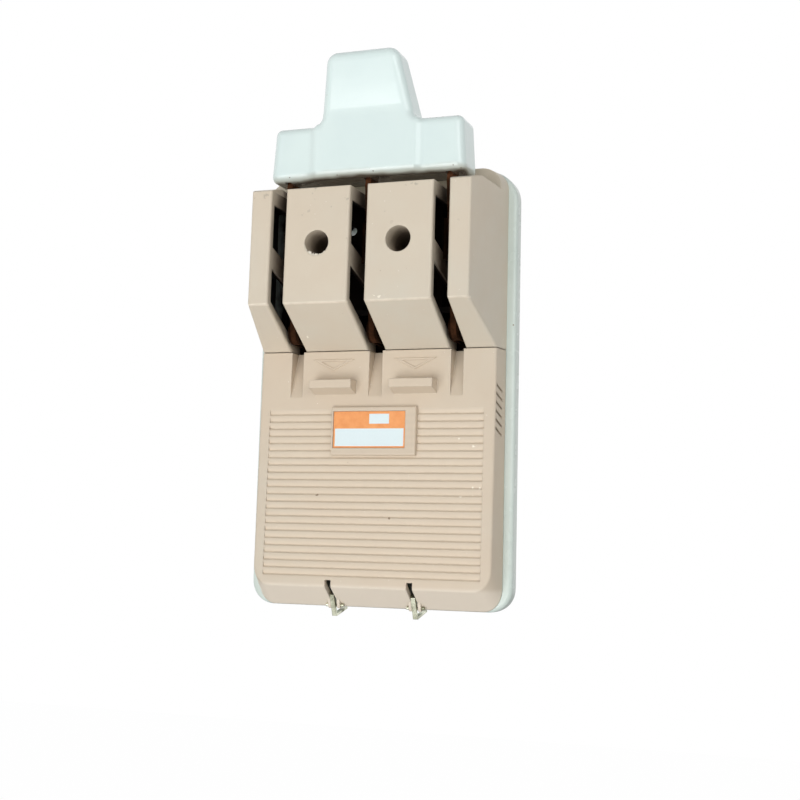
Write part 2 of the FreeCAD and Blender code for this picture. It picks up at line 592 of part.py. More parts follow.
soften(lid, "FootCorners", "fuse_corner",
       lambda e: e.BoundBox.ZMax < num("fuse_low_z") + 0.1 and 0.5 < e.BoundBox.XLength < 10
       and e.BoundBox.YLength > 5)
soften(lid, "FrontRounds", "cover_round",
       lambda e: e.BoundBox.YMax < num(y_at("seam_rise")) + 0.1 and e.BoundBox.ZMax < num(FUSE_TOP) - 0.1
       or (e.BoundBox.ZLength > 50 and e.BoundBox.YMax < num(y_at("seam_rise")) + 0.1))
# Ribs: one saw-tooth groove, repeated down the leaning front.
tooth = lid.newObject("Sketcher::SketchObject", "RibGroove")
tooth.AttachmentSupport = [([f for f in lid.Origin.OriginFeatures if f.Role == "YZ_Plane"][0], "")]
tooth.MapMode = "FlatFace"
tooth.setExpression("AttachmentOffset.Base.x", link(y_at(fuse_rise("rib_top_z"))))
tooth.setExpression("AttachmentOffset.Base.y", link("rib_top_z"))
tooth.setExpression("AttachmentOffset.Rotation.Angle", link("0 deg - atan(%s)" % FUSE_LEAN))
outline(tooth, [("-0.6", "0"), ("0", "0"), ("rib_deep", "0 - (rib_pitch - rib_land - rib_ledge)"),
                ("0", "0 - (rib_pitch - rib_land)"), ("-0.6", "0 - (rib_pitch - rib_land)")])
groove = feature(lid, "Pocket", "RibGrooveCut", tooth, "2 * rib_half", both=True)
ribs = lid.newObject("PartDesign::LinearPattern", "Ribs")
ribs.Originals = [groove]
ribs.Direction = (tooth, ["V_Axis"])
ribs.Reversed = True
ribs.setExpression("Length", link("rib_pitch * (rib_count - 1)"))
ribs.setExpression("Occurrences", link("rib_count"))
lid.Tip = ribs
doc.recompute()
# Label frame over the ribs, with a pocket for the card.
frame = box(sketch(lid, "LabelFrame", "XZ_Plane", "base_thick + %s" % fuse_rise("frame_top_z") + " - wall"),
            "frame_left", "frame_right", "frame_low_z", "frame_top_z")
feature(lid, "Pad", "Frame", frame, "wall + frame_out")
soften(lid, "FrameRound", "cover_round / 2",
       lambda e: e.BoundBox.YMax < num(y_at("(%s + frame_out)" % fuse_rise("frame_top_z"))) + 0.01)
pocket = box(sketch(lid, "CardPocket", "XZ_Plane", "base_thick + frame_out + %s" % fuse_rise("frame_top_z")),
             "card_left - card_fit", "card_right + card_fit",
             "card_low_z - card_fit", "card_top_z + card_fit")
feature(lid, "Pocket", "CardSeat", pocket, "card_sunk")
# Troughs for the blades: a housing inside, then the wedge-shaped cut.
GROOVES = [("left", "(0 - pole_pitch)", "groove_side"), ("centre", "0", "groove_centre"),
           ("right", "pole_pitch", "groove_side")]
SLOPE = "tan(groove_slope * 1 deg)"
floor_rise = "(%s - (%s - groove_end_z) * %s)" % (fuse_rise("groove_end_z"), FUSE_TOP, SLOPE)
for side, x, wide in GROOVES:
    shell = outline(sketch(lid, side + "_trough_shell", "YZ_Plane", x), [
        (y_at("(seam_rise - wall / 2)"), FUSE_TOP),
        (y_at("(%s - wall / 2)" % fuse_rise("groove_end_z")), "groove_end_z - 2 * groove_wall"),
        (y_at("(%s - wall)" % fuse_rise("groove_end_z")), "groove_end_z - 2 * groove_wall"),
        (y_at("(%s - groove_wall)" % floor_rise), FUSE_TOP)])
    feature(lid, "Pad", side + "_trough", shell, wide + " + 2 * groove_wall", both=True)
for side, x, wide in GROOVES:
    wedge = outline(sketch(lid, side + "_wedge", "YZ_Plane", x), [
        (y_at(fuse_rise("groove_end_z")), "groove_end_z"),
        (y_at("(%s + 2)" % fuse_rise("groove_end_z")), "groove_end_z"),
        (y_at("(seam_rise + 2)"), FUSE_TOP + " + 1"),
        (y_at("(%s - %s)" % (floor_rise, SLOPE)), FUSE_TOP + " + 1")])
    feature(lid, "Pocket", side + "_groove", wedge, wide, both=True)
# Finger ledges.
for side, sign in SIDES:
    shape = outline(sketch(lid, side + "_ledge_view", "YZ_Plane", signed(sign, "ledge_x")), [
        (y_at("(%s - wall / 2)" % fuse_rise("ledge_top_z")), "ledge_top_z"),
        (y_at("(%s + ledge_out)" % fuse_rise("ledge_top_z")), "ledge_top_z"),
        (y_at("(%s + ledge_out)" % fuse_rise("ledge_top_z")), "ledge_top_z - ledge_face"),
        (y_at(fuse_rise("ledge_top_z")), "ledge_top_z - ledge_drop"),
        (y_at("(%s - wall / 2)" % fuse_rise("ledge_top_z")), "ledge_top_z - ledge_drop")])
    feature(lid, "Pad", side + "_ledge", shape, "2 * ledge_half", both=True)
# Slanting vents through both side walls.
vents = sketch(lid, "Vents", "YZ_Plane", "cover_half - 2 * wall - 5")
for i in range(int(num("vent_count"))):
    z = "(vent_z - %d * vent_pitch)" % i
    start = y_at("(%s - wall / 2)" % fuse_rise(z))
    outline(vents, [(start, z), (start + " + vent_deep - wall / 2", z + " - vent_fall"),
                    (start + " + vent_deep - wall / 2", z + " - vent_fall - vent_wide"),
                    (start, z + " - vent_wide")])
slits = feature(lid, "Pocket", "VentSlits", vents, "12 + wall", back=True)
both = lid.newObject("PartDesign::Mirrored", "VentsOpposite")
both.Originals = [slits]
both.MirrorPlane = ([f for f in lid.Origin.OriginFeatures if f.Role == "YZ_Plane"][0], [""])
lid.Tip = both
doc.recompute()
# Slots over the hinge hooks, and the ears that carry the pins.
for side, sign in SIDES:
    x = signed(sign, "ledge_x")
    ear = outline(sketch(lid, side + "_ear_view", "YZ_Plane", x), [
        (y_at("(hinge_rise - hinge_ear)"), "hinge_z"),
        (y_at("(hinge_rise - hinge_ear)"), "fuse_edge_z + 2 * wall"),
        (y_at("(hinge_rise + 2 * hinge_ear)"), "fuse_edge_z + 3 * wall"),
        (y_at("(hinge_rise + hinge_ear)"), "hinge_z"),
        (y_at("(hinge_rise + hinge_ear * 0.7)"), "hinge_z - hinge_ear * 0.7"),
        (y_at("hinge_rise"), "hinge_z - hinge_ear"),
        (y_at("(hinge_rise - hinge_ear * 0.7)"), "hinge_z - hinge_ear * 0.7")])
    feature(lid, "Pad", side + "_ears", ear, "hook_slot + 2 * ear_wide", both=True)
cuts = sketch(lid, "HookSlots", "XZ_Plane", "base_thick + fuse_low_rise + 2")
for side, sign in SIDES:
    x = signed(sign, "ledge_x")
    box(cuts, x + " - hook_slot / 2", x + " + hook_slot / 2", "fuse_edge_z - 10", "hook_slot_z")
feature(lid, "Pocket", "HookSlotCut", cuts, "fuse_low_rise + 4")
bores = sketch(lid, "PinBores", "YZ_Plane")
ring(bores, y_at("hinge_rise"), "hinge_z", "hinge_pin / 2")
feature(lid, "Pocket", "PinBore", bores, "2 * (ledge_x + hook_slot / 2 + ear_wide)", both=True)
# Ribs inside that the catches grip.
for side, sign in SIDES:
    tab = box(sketch(lid, side + "_tab_view", "YZ_Plane", signed(sign, "ledge_x")),
              y_at("(catch_rise - 2 * tab_thick)"), y_at("(seam_rise - wall / 2)"),
              "catch_z - catch_high / 2", "catch_z + catch_high / 2")
    feature(lid, "Pad", side + "_tab", tab, "tab_thick", both=True)

card = body("rating_card")
plate = box(sketch(card, "Card", "XZ_Plane",
                   "base_thick + frame_out - card_sunk + %s" % fuse_rise("frame_top_z")),
            "card_left", "card_right", "card_low_z", "card_top_z")
feature(card, "Pad", "Sheet", plate, "card_thick")

# Handle: a glazed T whose grip leans out from the cross bar.
grip = body("handle")
KNEE = "(handle_bar_z + shoulder_round)"
tee = outline(sketch(grip, "FrontView", "XZ_Plane", "base_thick + handle_back"), [
    ("0 - handle_half", "handle_low_z"), ("handle_half", "handle_low_z"),
    ("handle_half - bar_taper", "handle_bar_z"), ("grip_half_mid", "handle_bar_z"),
    ("grip_half_top", "handle_top_z"), ("0 - grip_half_top", "handle_top_z"),
    ("0 - grip_half_mid", "handle_bar_z"), ("bar_taper - handle_half", "handle_bar_z")])
feature(grip, "Pad", "Tee", tee, "handle_front + grip_lean + 2 - handle_back")


def across_grip(e, low, high, near=0.0, far=1000.0):
    """An edge that runs front to back, between two heights and two distances from the middle."""
    b = e.BoundBox
    return b.YLength > 5 and low < b.Center.z < high and near < abs(b.Center.x) < far


bar_top, bar_end, tip_z = num("handle_bar_z"), num("handle_half - bar_taper"), num("handle_top_z")
soften(grip, "BarCorners", "handle_round", lambda e: across_grip(e, 0, bar_top + 1, bar_end - 1))
soften(grip, "Shoulders", "shoulder_round",
       lambda e: across_grip(e, bar_top - 1, bar_top + 1, 0, bar_end - 10))
soften(grip, "GripCorners", "grip_top_round", lambda e: across_grip(e, tip_z - 1, tip_z + 1))
faces = sketch(grip, "SideView", "YZ_Plane")
outline(faces, [
    (y_at("handle_front"), "handle_low_z - 1"), (y_at("handle_front"), KNEE),
    (y_at("(handle_front + grip_lean)"), "handle_top_z"),
    (y_at("(handle_front + grip_lean)"), "handle_top_z + 1"),
    (y_at("(handle_front + grip_lean + 3)"), "handle_top_z + 1"),
    (y_at("(handle_front + grip_lean + 3)"), "handle_low_z - 1")])
REAR_TOP = "(handle_back + grip_step + grip_lean + grip_thin)"
outline(faces, [
    (y_at("handle_back"), "handle_bar_z + 1"), (y_at("(handle_back + grip_step)"), KNEE),
    (y_at(REAR_TOP), "handle_top_z"), (y_at(REAR_TOP), "handle_top_z + 1"),
    (y_at("(handle_back - 1)"), "handle_top_z + 1"), (y_at("(handle_back - 1)"), "handle_bar_z + 1")])
feature(grip, "Pocket", "SideViewCut", faces, "3 * handle_half", both=True)
# The arms' front lies a little behind the middle's, with a slope between them.
SLOPE_START = "(grip_half_mid + arm_start)"
arms = sketch(grip, "ArmSteps", "XY_Plane", "handle_low_z - 1")
for sign in ("", "0 - "):
    outline(arms, [
        (sign + SLOPE_START, y_at("handle_front")),
        (sign + "(%s + arm_slope)" % SLOPE_START, y_at("(handle_front - arm_back)")),
        (sign + "(handle_half + 1)", y_at("(handle_front - arm_back)")),
        (sign + "(handle_half + 1)", y_at("(handle_front + 1)")),
        (sign + SLOPE_START, y_at("(handle_front + 1)"))])
feature(grip, "Pocket", "ArmStepCut", arms, "handle_top_z", back=True)
front_y, back_y, knee_z = num(y_at("handle_front")), num(y_at("handle_back")), num(KNEE)


def knee(e, y):
    b = e.BoundBox
    return abs(b.Center.z - knee_z) < 0.1 and abs(b.Center.y - y) < 0.1 and b.XLength > 20


def step_line(e):
    """The upright lines where the slope of an arm's front starts and ends."""
    b = e.BoundBox
    upright = b.XLength < 0.01 and b.YLength < 0.01 and b.ZLength > 10
    return upright and b.YMax < front_y + num("arm_back") + 0.01


soften(grip, "StepBlends", "grip_round", step_line)
soften(grip, "FrontKnee", "3 * shoulder_round", lambda e: knee(e, front_y))
lean = num("(%s - handle_back - grip_step) / (handle_top_z - %s)" % (REAR_TOP, KNEE))


def across_knee(e):
    b = e.BoundBox
    return b.XLength > 20 and b.ZMin > bar_top + 0.5 and b.ZMax < tip_z - 1


def front_rim(e):
    """The outline of the front, without the lines across the knee and along the slopes."""
    b = e.BoundBox
    return b.YMax < front_y + num("arm_back") + 0.02 and not across_knee(e) and not step_line(e)


def back_rim(e):
    """The outline of the back."""
    return not across_knee(e) and all(
        v.Y > back_y - max(0.0, v.Z - bar_top) * lean - num("grip_step") - 0.1 and (
            abs(v.Y - back_y) < 0.01 or v.Z > bar_top) for v in e.Vertexes)


soften(grip, "FrontRim", "grip_round", front_rim)
soften(grip, "BackRim", "handle_round / 3", back_rim)
slot = sketch(grip, "TangSlots", "XZ_Plane", "base_thick + handle_back - 1")
for side, x in POLES:
    box(slot, x + " - blade_thick / 2 - tang_fit", x + " + blade_thick / 2 + tang_fit",
        "handle_low_z - 1", "blade_top_z + tang_fit")
feature(grip, "Pocket", "TangSlotCut", slot,
        "1 - handle_back - base_thick - %s + blade_tang / 2 + tang_fit" % blade_y("blade_top_z"), back=True)
recess = sketch(grip, "FootRecesses", "XZ_Plane", "base_thick + handle_back - 1")
for side, x in POLES:
    box(recess, foot_at(side, x, "(0 - blade_thick / 2 - tang_fit)"),
        foot_at(side, x, "(foot_wide - blade_thick / 2 + tang_fit)"),
        "foot_z - foot_high / 2 - tang_fit", "foot_z + foot_high / 2 + tang_fit")
feature(grip, "Pocket", "FootRecessCut", recess, "foot_thick + tang_fit + 1", back=True)
wells = sketch(grip, "InsertHoles", "XZ_Plane", "base_thick + handle_back")
for side, x in POLES:
    ring(wells, foot_at(side, x, "foot_screw_x"), "foot_z", "insert_radius")
feature(grip, "Pocket", "InsertHoleCut", wells, "foot_thick + insert_long + 1.5", back=True)

# Blades: flat copper bars that lean with the handle, with a foot bent over its back.
for side, x in POLES:
    blade = body("blade_" + side)
    low_y, top_y = blade_y("pivot_z"), blade_y("blade_top_z")
    neck_z = "(handle_low_z - 4)"
    side_view = outline(sketch(blade, "SideView", "YZ_Plane", x), [
        (low_y + " - blade_wide / 2", "pivot_z"), (blade_y(neck_z) + " - blade_wide / 2", neck_z),
        (blade_y("(handle_low_z + 2)") + " - blade_tang / 2", "handle_low_z + 2"),
        (top_y + " - blade_tang / 2", "blade_top_z"), (top_y + " + blade_tang / 2", "blade_top_z"),
        (top_y + " + blade_tang / 2", "foot_z + foot_high / 2"),
        (y_at("handle_back"), "foot_z + foot_high / 2"), (y_at("handle_back"), "foot_z - foot_high / 2"),
        (blade_y("(handle_low_z + 2)") + " + blade_tang / 2", "foot_z - foot_high / 2"),
        (blade_y("(handle_low_z + 2)") + " + blade_tang / 2", "handle_low_z + 2"),
        (blade_y(neck_z) + " + blade_wide / 2", neck_z), (low_y + " + blade_wide / 2", "pivot_z")])
    feature(blade, "Pad", "Bar", side_view, "blade_thick", both=True)
    eye = ring(sketch(blade, "Eye", "YZ_Plane", x), y_at("pivot_rise"), "pivot_z", "blade_wide / 2")
    feature(blade, "Pad", "EyeDisc", eye, "blade_thick", both=True)
    foot = box(sketch(blade, "Foot", "XZ_Plane", "base_thick + handle_back"),
               foot_at(side, x, "(0 - blade_thick / 2)"), foot_at(side, x, "(foot_wide - blade_thick / 2)"),
               "foot_z - foot_high / 2", "foot_z + foot_high / 2")
    feature(blade, "Pad", "FootPlate", foot, "foot_thick")
    hole = ring(sketch(blade, "PivotHole", "YZ_Plane", x), y_at("pivot_rise"), "pivot_z",
                "pivot_pin / 2 + leaf_gap")
    feature(blade, "Pocket", "PivotBore", hole, "blade_thick + 2", both=True)
    hole = ring(sketch(blade, "FootHole", "XZ_Plane", "base_thick + handle_back - 1"),
                foot_at(side, x, "foot_screw_x"), "foot_z", "screw_bore / 2 - 0.5 + fit")
    feature(blade, "Pocket", "FootBore", hole, "foot_thick + 2", back=True)

# Line jaws: two leaves with a flared mouth on a strip that runs up to the line screw.
for side, x in POLES:
    jaw = body("line_jaw_" + side)
    strip = box(sketch(jaw, "Strip", "XZ_Plane", "base_thick - trough_depth"),
                x + " - strip_wide / 2", x + " + cable_aside - cable_hole / 2 - 1",
                "jaw_z - jaw_high / 2", "line_end_z")
    feature(jaw, "Pad", "StripPad", strip, "strip_thick")
    top_y = y_at("jaw_rise")
    gap = "(blade_thick / 2 + leaf_gap)"
    for sign in ("-", "+"):
        leaf = sketch(jaw, "Leaf" + ("A" if sign == "-" else "B"), "XY_Plane", "jaw_z - jaw_high / 2")
        outline(leaf, [
            ("%s %s %s" % (x, sign, gap), STRIP + " + 0.5"),
            ("%s %s %s" % (x, sign, gap), top_y + " + 3"),
            ("%s %s %s" % (x, sign, "(%s + jaw_flare)" % gap), top_y),
            ("%s %s %s" % (x, sign, "(%s + jaw_flare + leaf_thick)" % gap), top_y),
            ("%s %s %s" % (x, sign, "(%s + leaf_thick)" % gap), top_y + " + 3"),
            ("%s %s %s" % (x, sign, "(%s + leaf_thick)" % gap), STRIP + " + 0.5")])
        feature(jaw, "Pad", "LeafPad" + ("A" if sign == "-" else "B"), leaf, "jaw_high")
    hole = ring(sketch(jaw, "ScrewHole", "XZ_Plane", "base_thick"),
                x, "line_screw_z", "screw_bore / 2 + fit / 2")
    feature(jaw, "Pocket", "ScrewBore", hole, "base_thick")

# Hinge clips: two rounded leaves about the blade's eye, on a strip down to the fuse.
for side, x in POLES:
    clip = body("hinge_clip_" + side)
    strip = box(sketch(clip, "Strip", "XZ_Plane", "base_thick - trough_depth"),
                x + " - strip_wide / 2", x + " + strip_wide / 2", "clip_end_z", "pivot_z + clip_round")
    feature(clip, "Pad", "StripPad", strip, "strip_thick")
    post = box(sketch(clip, "Leaves", "YZ_Plane", x), y_at("pivot_rise"), STRIP + " + 0.5",
               "pivot_z - clip_round", "pivot_z + clip_round")
    wide = "blade_thick + 2 * leaf_gap + 2 * leaf_thick"
    feature(clip, "Pad", "LeafBlock", post, wide, both=True)
    eye = ring(sketch(clip, "Eyes", "YZ_Plane", x), y_at("pivot_rise"), "pivot_z", "clip_round")
    feature(clip, "Pad", "EyeDiscs", eye, wide, both=True)
    gap = box(sketch(clip, "BladeGap", "YZ_Plane", x), y_at("(pivot_rise + 2 * clip_round)"), STRIP,
              "pivot_z - 2 * clip_round", "pivot_z + 2 * clip_round")
    feature(clip, "Pocket", "BladeGapCut", gap, "blade_thick + 2 * leaf_gap", both=True)
    hole = ring(sketch(clip, "PinHole", "YZ_Plane", x), y_at("pivot_rise"), "pivot_z", "pivot_pin / 2")
    feature(clip, "Pocket", "PinBore", hole, "4 * blade_thick", both=True)
    hole = ring(sketch(clip, "ScrewHole", "XZ_Plane", "base_thick"),
                x, "fuse_top_z", "screw_bore / 2 + fit / 2")
    feature(clip, "Pocket", "ScrewBore", hole, "base_thick")

# Load strips, and the fuse links with a narrow waist between each pair of fuse screws.
for side, x in POLES:
    load = body("load_strip_" + side)
    strip = outline(sketch(load, "Strip", "XZ_Plane", "base_thick - trough_depth"), [
        (x + " - strip_wide / 2", "load_low_z"), (x + " + strip_wide / 2", "load_low_z"),
        (x + " + strip_wide / 2", "load_cable_z - cable_hole / 2 - 2"),
        (x + " + cable_aside - cable_hole / 2 - 1", "load_cable_z - cable_hole / 2"),
        (x + " + cable_aside - cable_hole / 2 - 1", "load_cable_z + cable_hole / 2"),
        (x + " + strip_wide / 2", "load_cable_z + cable_hole / 2 + 2"),
        (x + " + strip_wide / 2", "load_top_z"), (x + " - strip_wide / 2", "load_top_z")])
    feature(load, "Pad", "StripPad", strip, "strip_thick")
    for i, z in enumerate(("fuse_low_screw_z", "load_screw_z")):
        hole = ring(sketch(load, "ScrewHole%d" % i, "XZ_Plane", "base_thick"),
                    x, z, "screw_bore / 2 + fit / 2")
        feature(load, "Pocket", "ScrewBore%d" % i, hole, "base_thick")
    fuse = body("fuse_link_" + side)
    a, b = "link_wide / 2", "link_waist / 2"
    shape = outline(sketch(fuse, "Link", "XZ_Plane", "base_thick - trough_depth + strip_thick"), [
        (x + " - " + a, "fuse_low_screw_z - link_wide / 2"),
        (x + " + " + a, "fuse_low_screw_z - link_wide / 2"),
        (x + " + " + a, "fuse_low_screw_z + link_wide"), (x + " + " + b, "fuse_low_screw_z + 2 * link_wide"),
        (x + " + " + b, "fuse_top_z - 2 * link_wide"), (x + " + " + a, "fuse_top_z - link_wide"),
        (x + " + " + a, "fuse_top_z + link_wide / 2"), (x + " - " + a, "fuse_top_z + link_wide / 2"),
        (x + " - " + a, "fuse_top_z - link_wide"), (x + " - " + b, "fuse_top_z - 2 * link_wide"),
        (x + " - " + b, "fuse_low_screw_z + 2 * link_wide"),
        (x + " - " + a, "fuse_low_screw_z + link_wide")])
    feature(fuse, "Pad", "LinkPad", shape, "link_thick")
    for i, z in enumerate(("fuse_low_screw_z", "fuse_top_z")):
        hole = ring(sketch(fuse, "ScrewHole%d" % i, "XZ_Plane", "base_thick"),
                    x, z, "screw_bore / 2 + fit / 2")
        feature(fuse, "Pocket", "ScrewBore%d" % i, hole, "base_thick")

# Hinge hooks: a strip from the base's front that leaves the cover by its slot, slants down before the pin
# to a tip and runs back from there under the base's lower edge.
for side, sign in SIDES:
    hook = body("hinge_hook_" + side)
    x = signed(sign, "ledge_x")
    t = "hook_thick"
    clear = "(hinge_pin / 2 + hinge_play)"
    bend = "(hinge_z + 3 * hinge_pin)"
    under = "(0 - base_height / 2 - hinge_play)"
    out = "(hinge_rise + %s + hook_thick + hook_drop / 2)" % clear
    tip = "(hinge_rise + %s - hook_drop / 3)" % clear
    view = outline(sketch(hook, "SideView", "YZ_Plane", x), [
        (FRONT, "hook_foot_z"), (FRONT + " - " + t, "hook_foot_z"),
        (FRONT + " - " + t, bend + " + %s - hook_thick / 2" % out), (y_at(out), bend),
        (y_at("(%s + hook_thick)" % tip), "hook_low_z"), (y_at(tip), "hook_low_z"),
        (y_at("(hinge_rise - hook_reach)"), under + " - hook_thick"),
        (y_at("(hinge_rise - hook_reach)"), under),
        (y_at(tip), "hook_low_z + 1.2 * hook_thick"),
        (y_at("(%s - hook_thick)" % out), bend), (FRONT, bend + " + %s - hook_thick" % out)])
    feature(hook, "Pad", "StripPad", view, "hook_wide", both=True)
    hole = ring(sketch(hook, "ScrewHole", "XZ_Plane", "base_thick + 3"), x, "hook_foot_z - hook_wide",
                "small_screw / 2 - 0.4")
    feature(hook, "Pocket", "ScrewBore", hole, "5")

# Spring catches: a small fork that grips the rib inside the fuse cover.
for side, sign in SIDES:
    catch = body("cover_catch_" + side)
    x = signed(sign, "ledge_x")
    foot = box(sketch(catch, "Foot", "XZ_Plane", "base_thick"), x + " - catch_half", x + " + catch_half",
               "catch_z - catch_high / 2", "catch_z + catch_high / 2")
    feature(catch, "Pad", "FootPad", foot, "catch_thick")
    grip_at = "(tab_thick / 2 + catch_play)"
    for s, tag in (("-", "A"), ("+", "B")):
        leaf = outline(sketch(catch, "Leaf" + tag, "XY_Plane", "catch_z - catch_high / 2"), [
            ("%s %s (catch_half - catch_thick)" % (x, s), y_at("(catch_thick / 2)")),
            ("%s %s %s" % (x, s, grip_at), y_at("(catch_rise - 2)")),
            ("%s %s (%s + catch_thick)" % (x, s, grip_at), y_at("catch_rise")),
            ("%s %s (%s + 2 * catch_thick)" % (x, s, grip_at), y_at("catch_rise")),
            ("%s %s (%s + catch_thick)" % (x, s, grip_at), y_at("(catch_rise - 2)")),
            ("%s %s catch_half" % (x, s), y_at("(catch_thick / 2)"))])
        feature(catch, "Pad", "LeafPad" + tag, leaf, "catch_high")
    hole = ring(sketch(catch, "ScrewHole", "XZ_Plane", "base_thick + 3"), x, "catch_z",
                "small_screw / 2 - 0.5 + fit / 2")
    feature(catch, "Pocket", "ScrewBore", hole, "5")


# Round hardware: plain primitives, one group for each kind.
def placed(obj, x, y, z, turn):
    """Puts a primitive at formulas of the sheet; turn sends its axis along Y or X."""
    obj.Placement = FreeCAD.Placement(FreeCAD.Vector(0, 0, 0), turn)
    for axis, text in zip("xyz", (x, y, z)):
        obj.setExpression("Placement.Base." + axis, link(text))
    return obj


TO_REAR = FreeCAD.Rotation(FreeCAD.Vector(1, 0, 0), -90)     # axis along +Y
TO_FRONT = FreeCAD.Rotation(FreeCAD.Vector(1, 0, 0), 90)     # axis along -Y
TO_RIGHT = FreeCAD.Rotation(FreeCAD.Vector(0, 1, 0), 90)     # axis along +X


def cylinder(name, radius, length, x, y, z, turn):
    made = doc.addObject("Part::Cylinder", name)
    made.setExpression("Radius", link(radius))
    made.setExpression("Height", link(length))
    return placed(made, x, y, z, turn)


def group(label, pieces):
    made = doc.addObject("Part::Compound", label)
    made.Label = label
    made.Links = pieces
    return made


def screw(name, radius, long, head, high, x, y, z, to_rear=True):
    """A slotted cheese-head screw; y is the underside of its head."""
    turn, away = (TO_REAR, TO_FRONT) if to_rear else (TO_FRONT, TO_REAR)
    shank = cylinder(name + "_shank", radius, long, x, y, z, turn)
    top = cylinder(name + "_head", head, high, x, y, z, away)
    whole = doc.addObject("Part::Fuse", name + "_blank")
    whole.Base, whole.Tool = shank, top
    notch = doc.addObject("Part::Box", name + "_slot")
    notch.setExpression("Length", link("3 * " + head))
    notch.setExpression("Width", link("2 * (%s)" % high))
    notch.setExpression("Height", link("(%s) / 4" % head))
    at = "%s - 2.6 * (%s)" if to_rear else "%s + 0.6 * (%s)"
    notch.setExpression("Placement.Base.x", link("%s - 1.5 * %s" % (x, head)))
    notch.setExpression("Placement.Base.y", link(at % (y, high)))
    notch.setExpression("Placement.Base.z", link("%s - (%s) / 8" % (z, head)))
    made = doc.addObject("Part::Cut", name)
    made.Base, made.Tool = whole, notch
    return made


nodes = [o for o in doc.Objects if o.TypeId == "PartDesign::Body"]
LINK_TOP = STRIP + " - link_thick"
for label, z, under in (("line_screws", "line_screw_z", STRIP), ("fuse_top_screws", "fuse_top_z", LINK_TOP),
                        ("fuse_low_screws", "fuse_low_screw_z", LINK_TOP),
                        ("load_screws", "load_screw_z", STRIP)):
    nodes.append(group(label, [screw(label + "_" + side, "screw_bore / 2", "screw_long", "screw_head / 2",
                                     "screw_head_high", x, under, z) for side, x in POLES]))
anchors = []
for side, x in POLES:
    for i, z in enumerate(ANCHORS):
        anchors.append(screw("anchor_%s_%d" % (side, i), "small_screw / 2",
                             "base_thick - trough_depth - small_screw - 1",
                             "small_screw", "small_screw * 0.8", x, "0 - small_screw - 1", z, to_rear=False))
nodes.append(group("strip_anchor_screws", anchors))
nodes.append(group("upper_cover_screws", [
    screw("cover_screw_" + side, "screw_bore / 2 - 0.5", "cover_screw_long", "cover_screw_head / 2",
          "screw_head_high", signed(sign, "well_x"), y_at("well_floor"), "well_z") for side, sign in SIDES]))
nodes.append(group("handle_screws", [
    screw("handle_screw_" + side, "screw_bore / 2 - 0.5", "foot_thick + insert_long", "screw_head / 2 - 0.5",
          "screw_head_high * 0.8", foot_at(side, x, "foot_screw_x"),
          y_at("handle_back"), "foot_z", to_rear=False)
    for side, x in POLES]))
hook_screws = []
for side, sign in SIDES:
    for i, (z, under) in enumerate((("hook_foot_z - hook_wide", "hook_thick"), ("catch_z", "catch_thick"))):
        hook_screws.append(screw("small_screw_%s_%d" % (side, i), "small_screw / 2 - 0.5",
                                 "2.5 * small_screw", "small_screw * 0.45" if i else "small_screw * 0.8",
                                 "small_screw / 2", signed(sign, "ledge_x"), y_at(under), z))
nodes.append(group("hook_and_catch_screws", hook_screws))


def sleeve(name, outer, inner, long, x, y, z, turn):
    body_ = cylinder(name + "_outer", outer, long, x, y, z, turn)
    bore_ = cylinder(name + "_inner", inner, long, x, y, z, turn)
    made = doc.addObject("Part::Cut", name)
    made.Base, made.Tool = body_, bore_
    return made


nodes.append(group("handle_inserts", [
    sleeve("handle_insert_" + side, "insert_radius", "screw_bore / 2 - 0.5", "insert_long",
           foot_at(side, x, "foot_screw_x"), y_at("(handle_back + foot_thick)"), "foot_z", TO_FRONT)
    for side, x in POLES]))
nodes.append(group("base_inserts", [
    sleeve("base_insert_" + side, "insert_radius", "screw_bore / 2 - 0.5", "insert_long",
           signed(sign, "well_x"), FRONT, "well_z", TO_REAR) for side, sign in SIDES]))
nodes.append(group("blade_pivot_pins", [
    cylinder("pivot_pin_" + side, "pivot_pin / 2", "blade_thick + 2 * leaf_gap + 2 * leaf_thick + 1",
             x + " - blade_thick / 2 - leaf_gap - leaf_thick - 0.5", y_at("pivot_rise"), "pivot_z", TO_RIGHT)
    for side, x in POLES]))
nodes.append(group("cover_hinge_pins", [
    cylinder("hinge_pin_" + side, "hinge_pin / 2", "hook_slot + 2 * ear_wide + 2 * pin_over",
             signed(sign, "ledge_x") + " - hook_slot / 2 - ear_wide - pin_over",
             y_at("hinge_rise"), "hinge_z",
             TO_RIGHT)
    for side, sign in SIDES]))
doc.recompute()

wrong = [o.Name for o in doc.Objects if "Invalid" in o.State or "Error" in o.State]
for node in nodes:
    if node.Shape.isNull() or not node.Shape.isValid():
        wrong.append(node.Label)
if wrong:
    raise RuntimeError("failed: " + ", ".join(wrong))
for node in nodes:
    node.Shape.exportStep(os.path.join("parts", node.Label + ".step"))
    print("%-24s %2d solids %10.1f mm3" % (node.Label, len(node.Shape.Solids), node.Shape.Volume))
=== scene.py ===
"""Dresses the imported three-pole knife switch: camera, light, materials and the smallest moulded details."""
import json
import math

import bmesh
import bpy
from mathutils import Matrix, Vector, noise


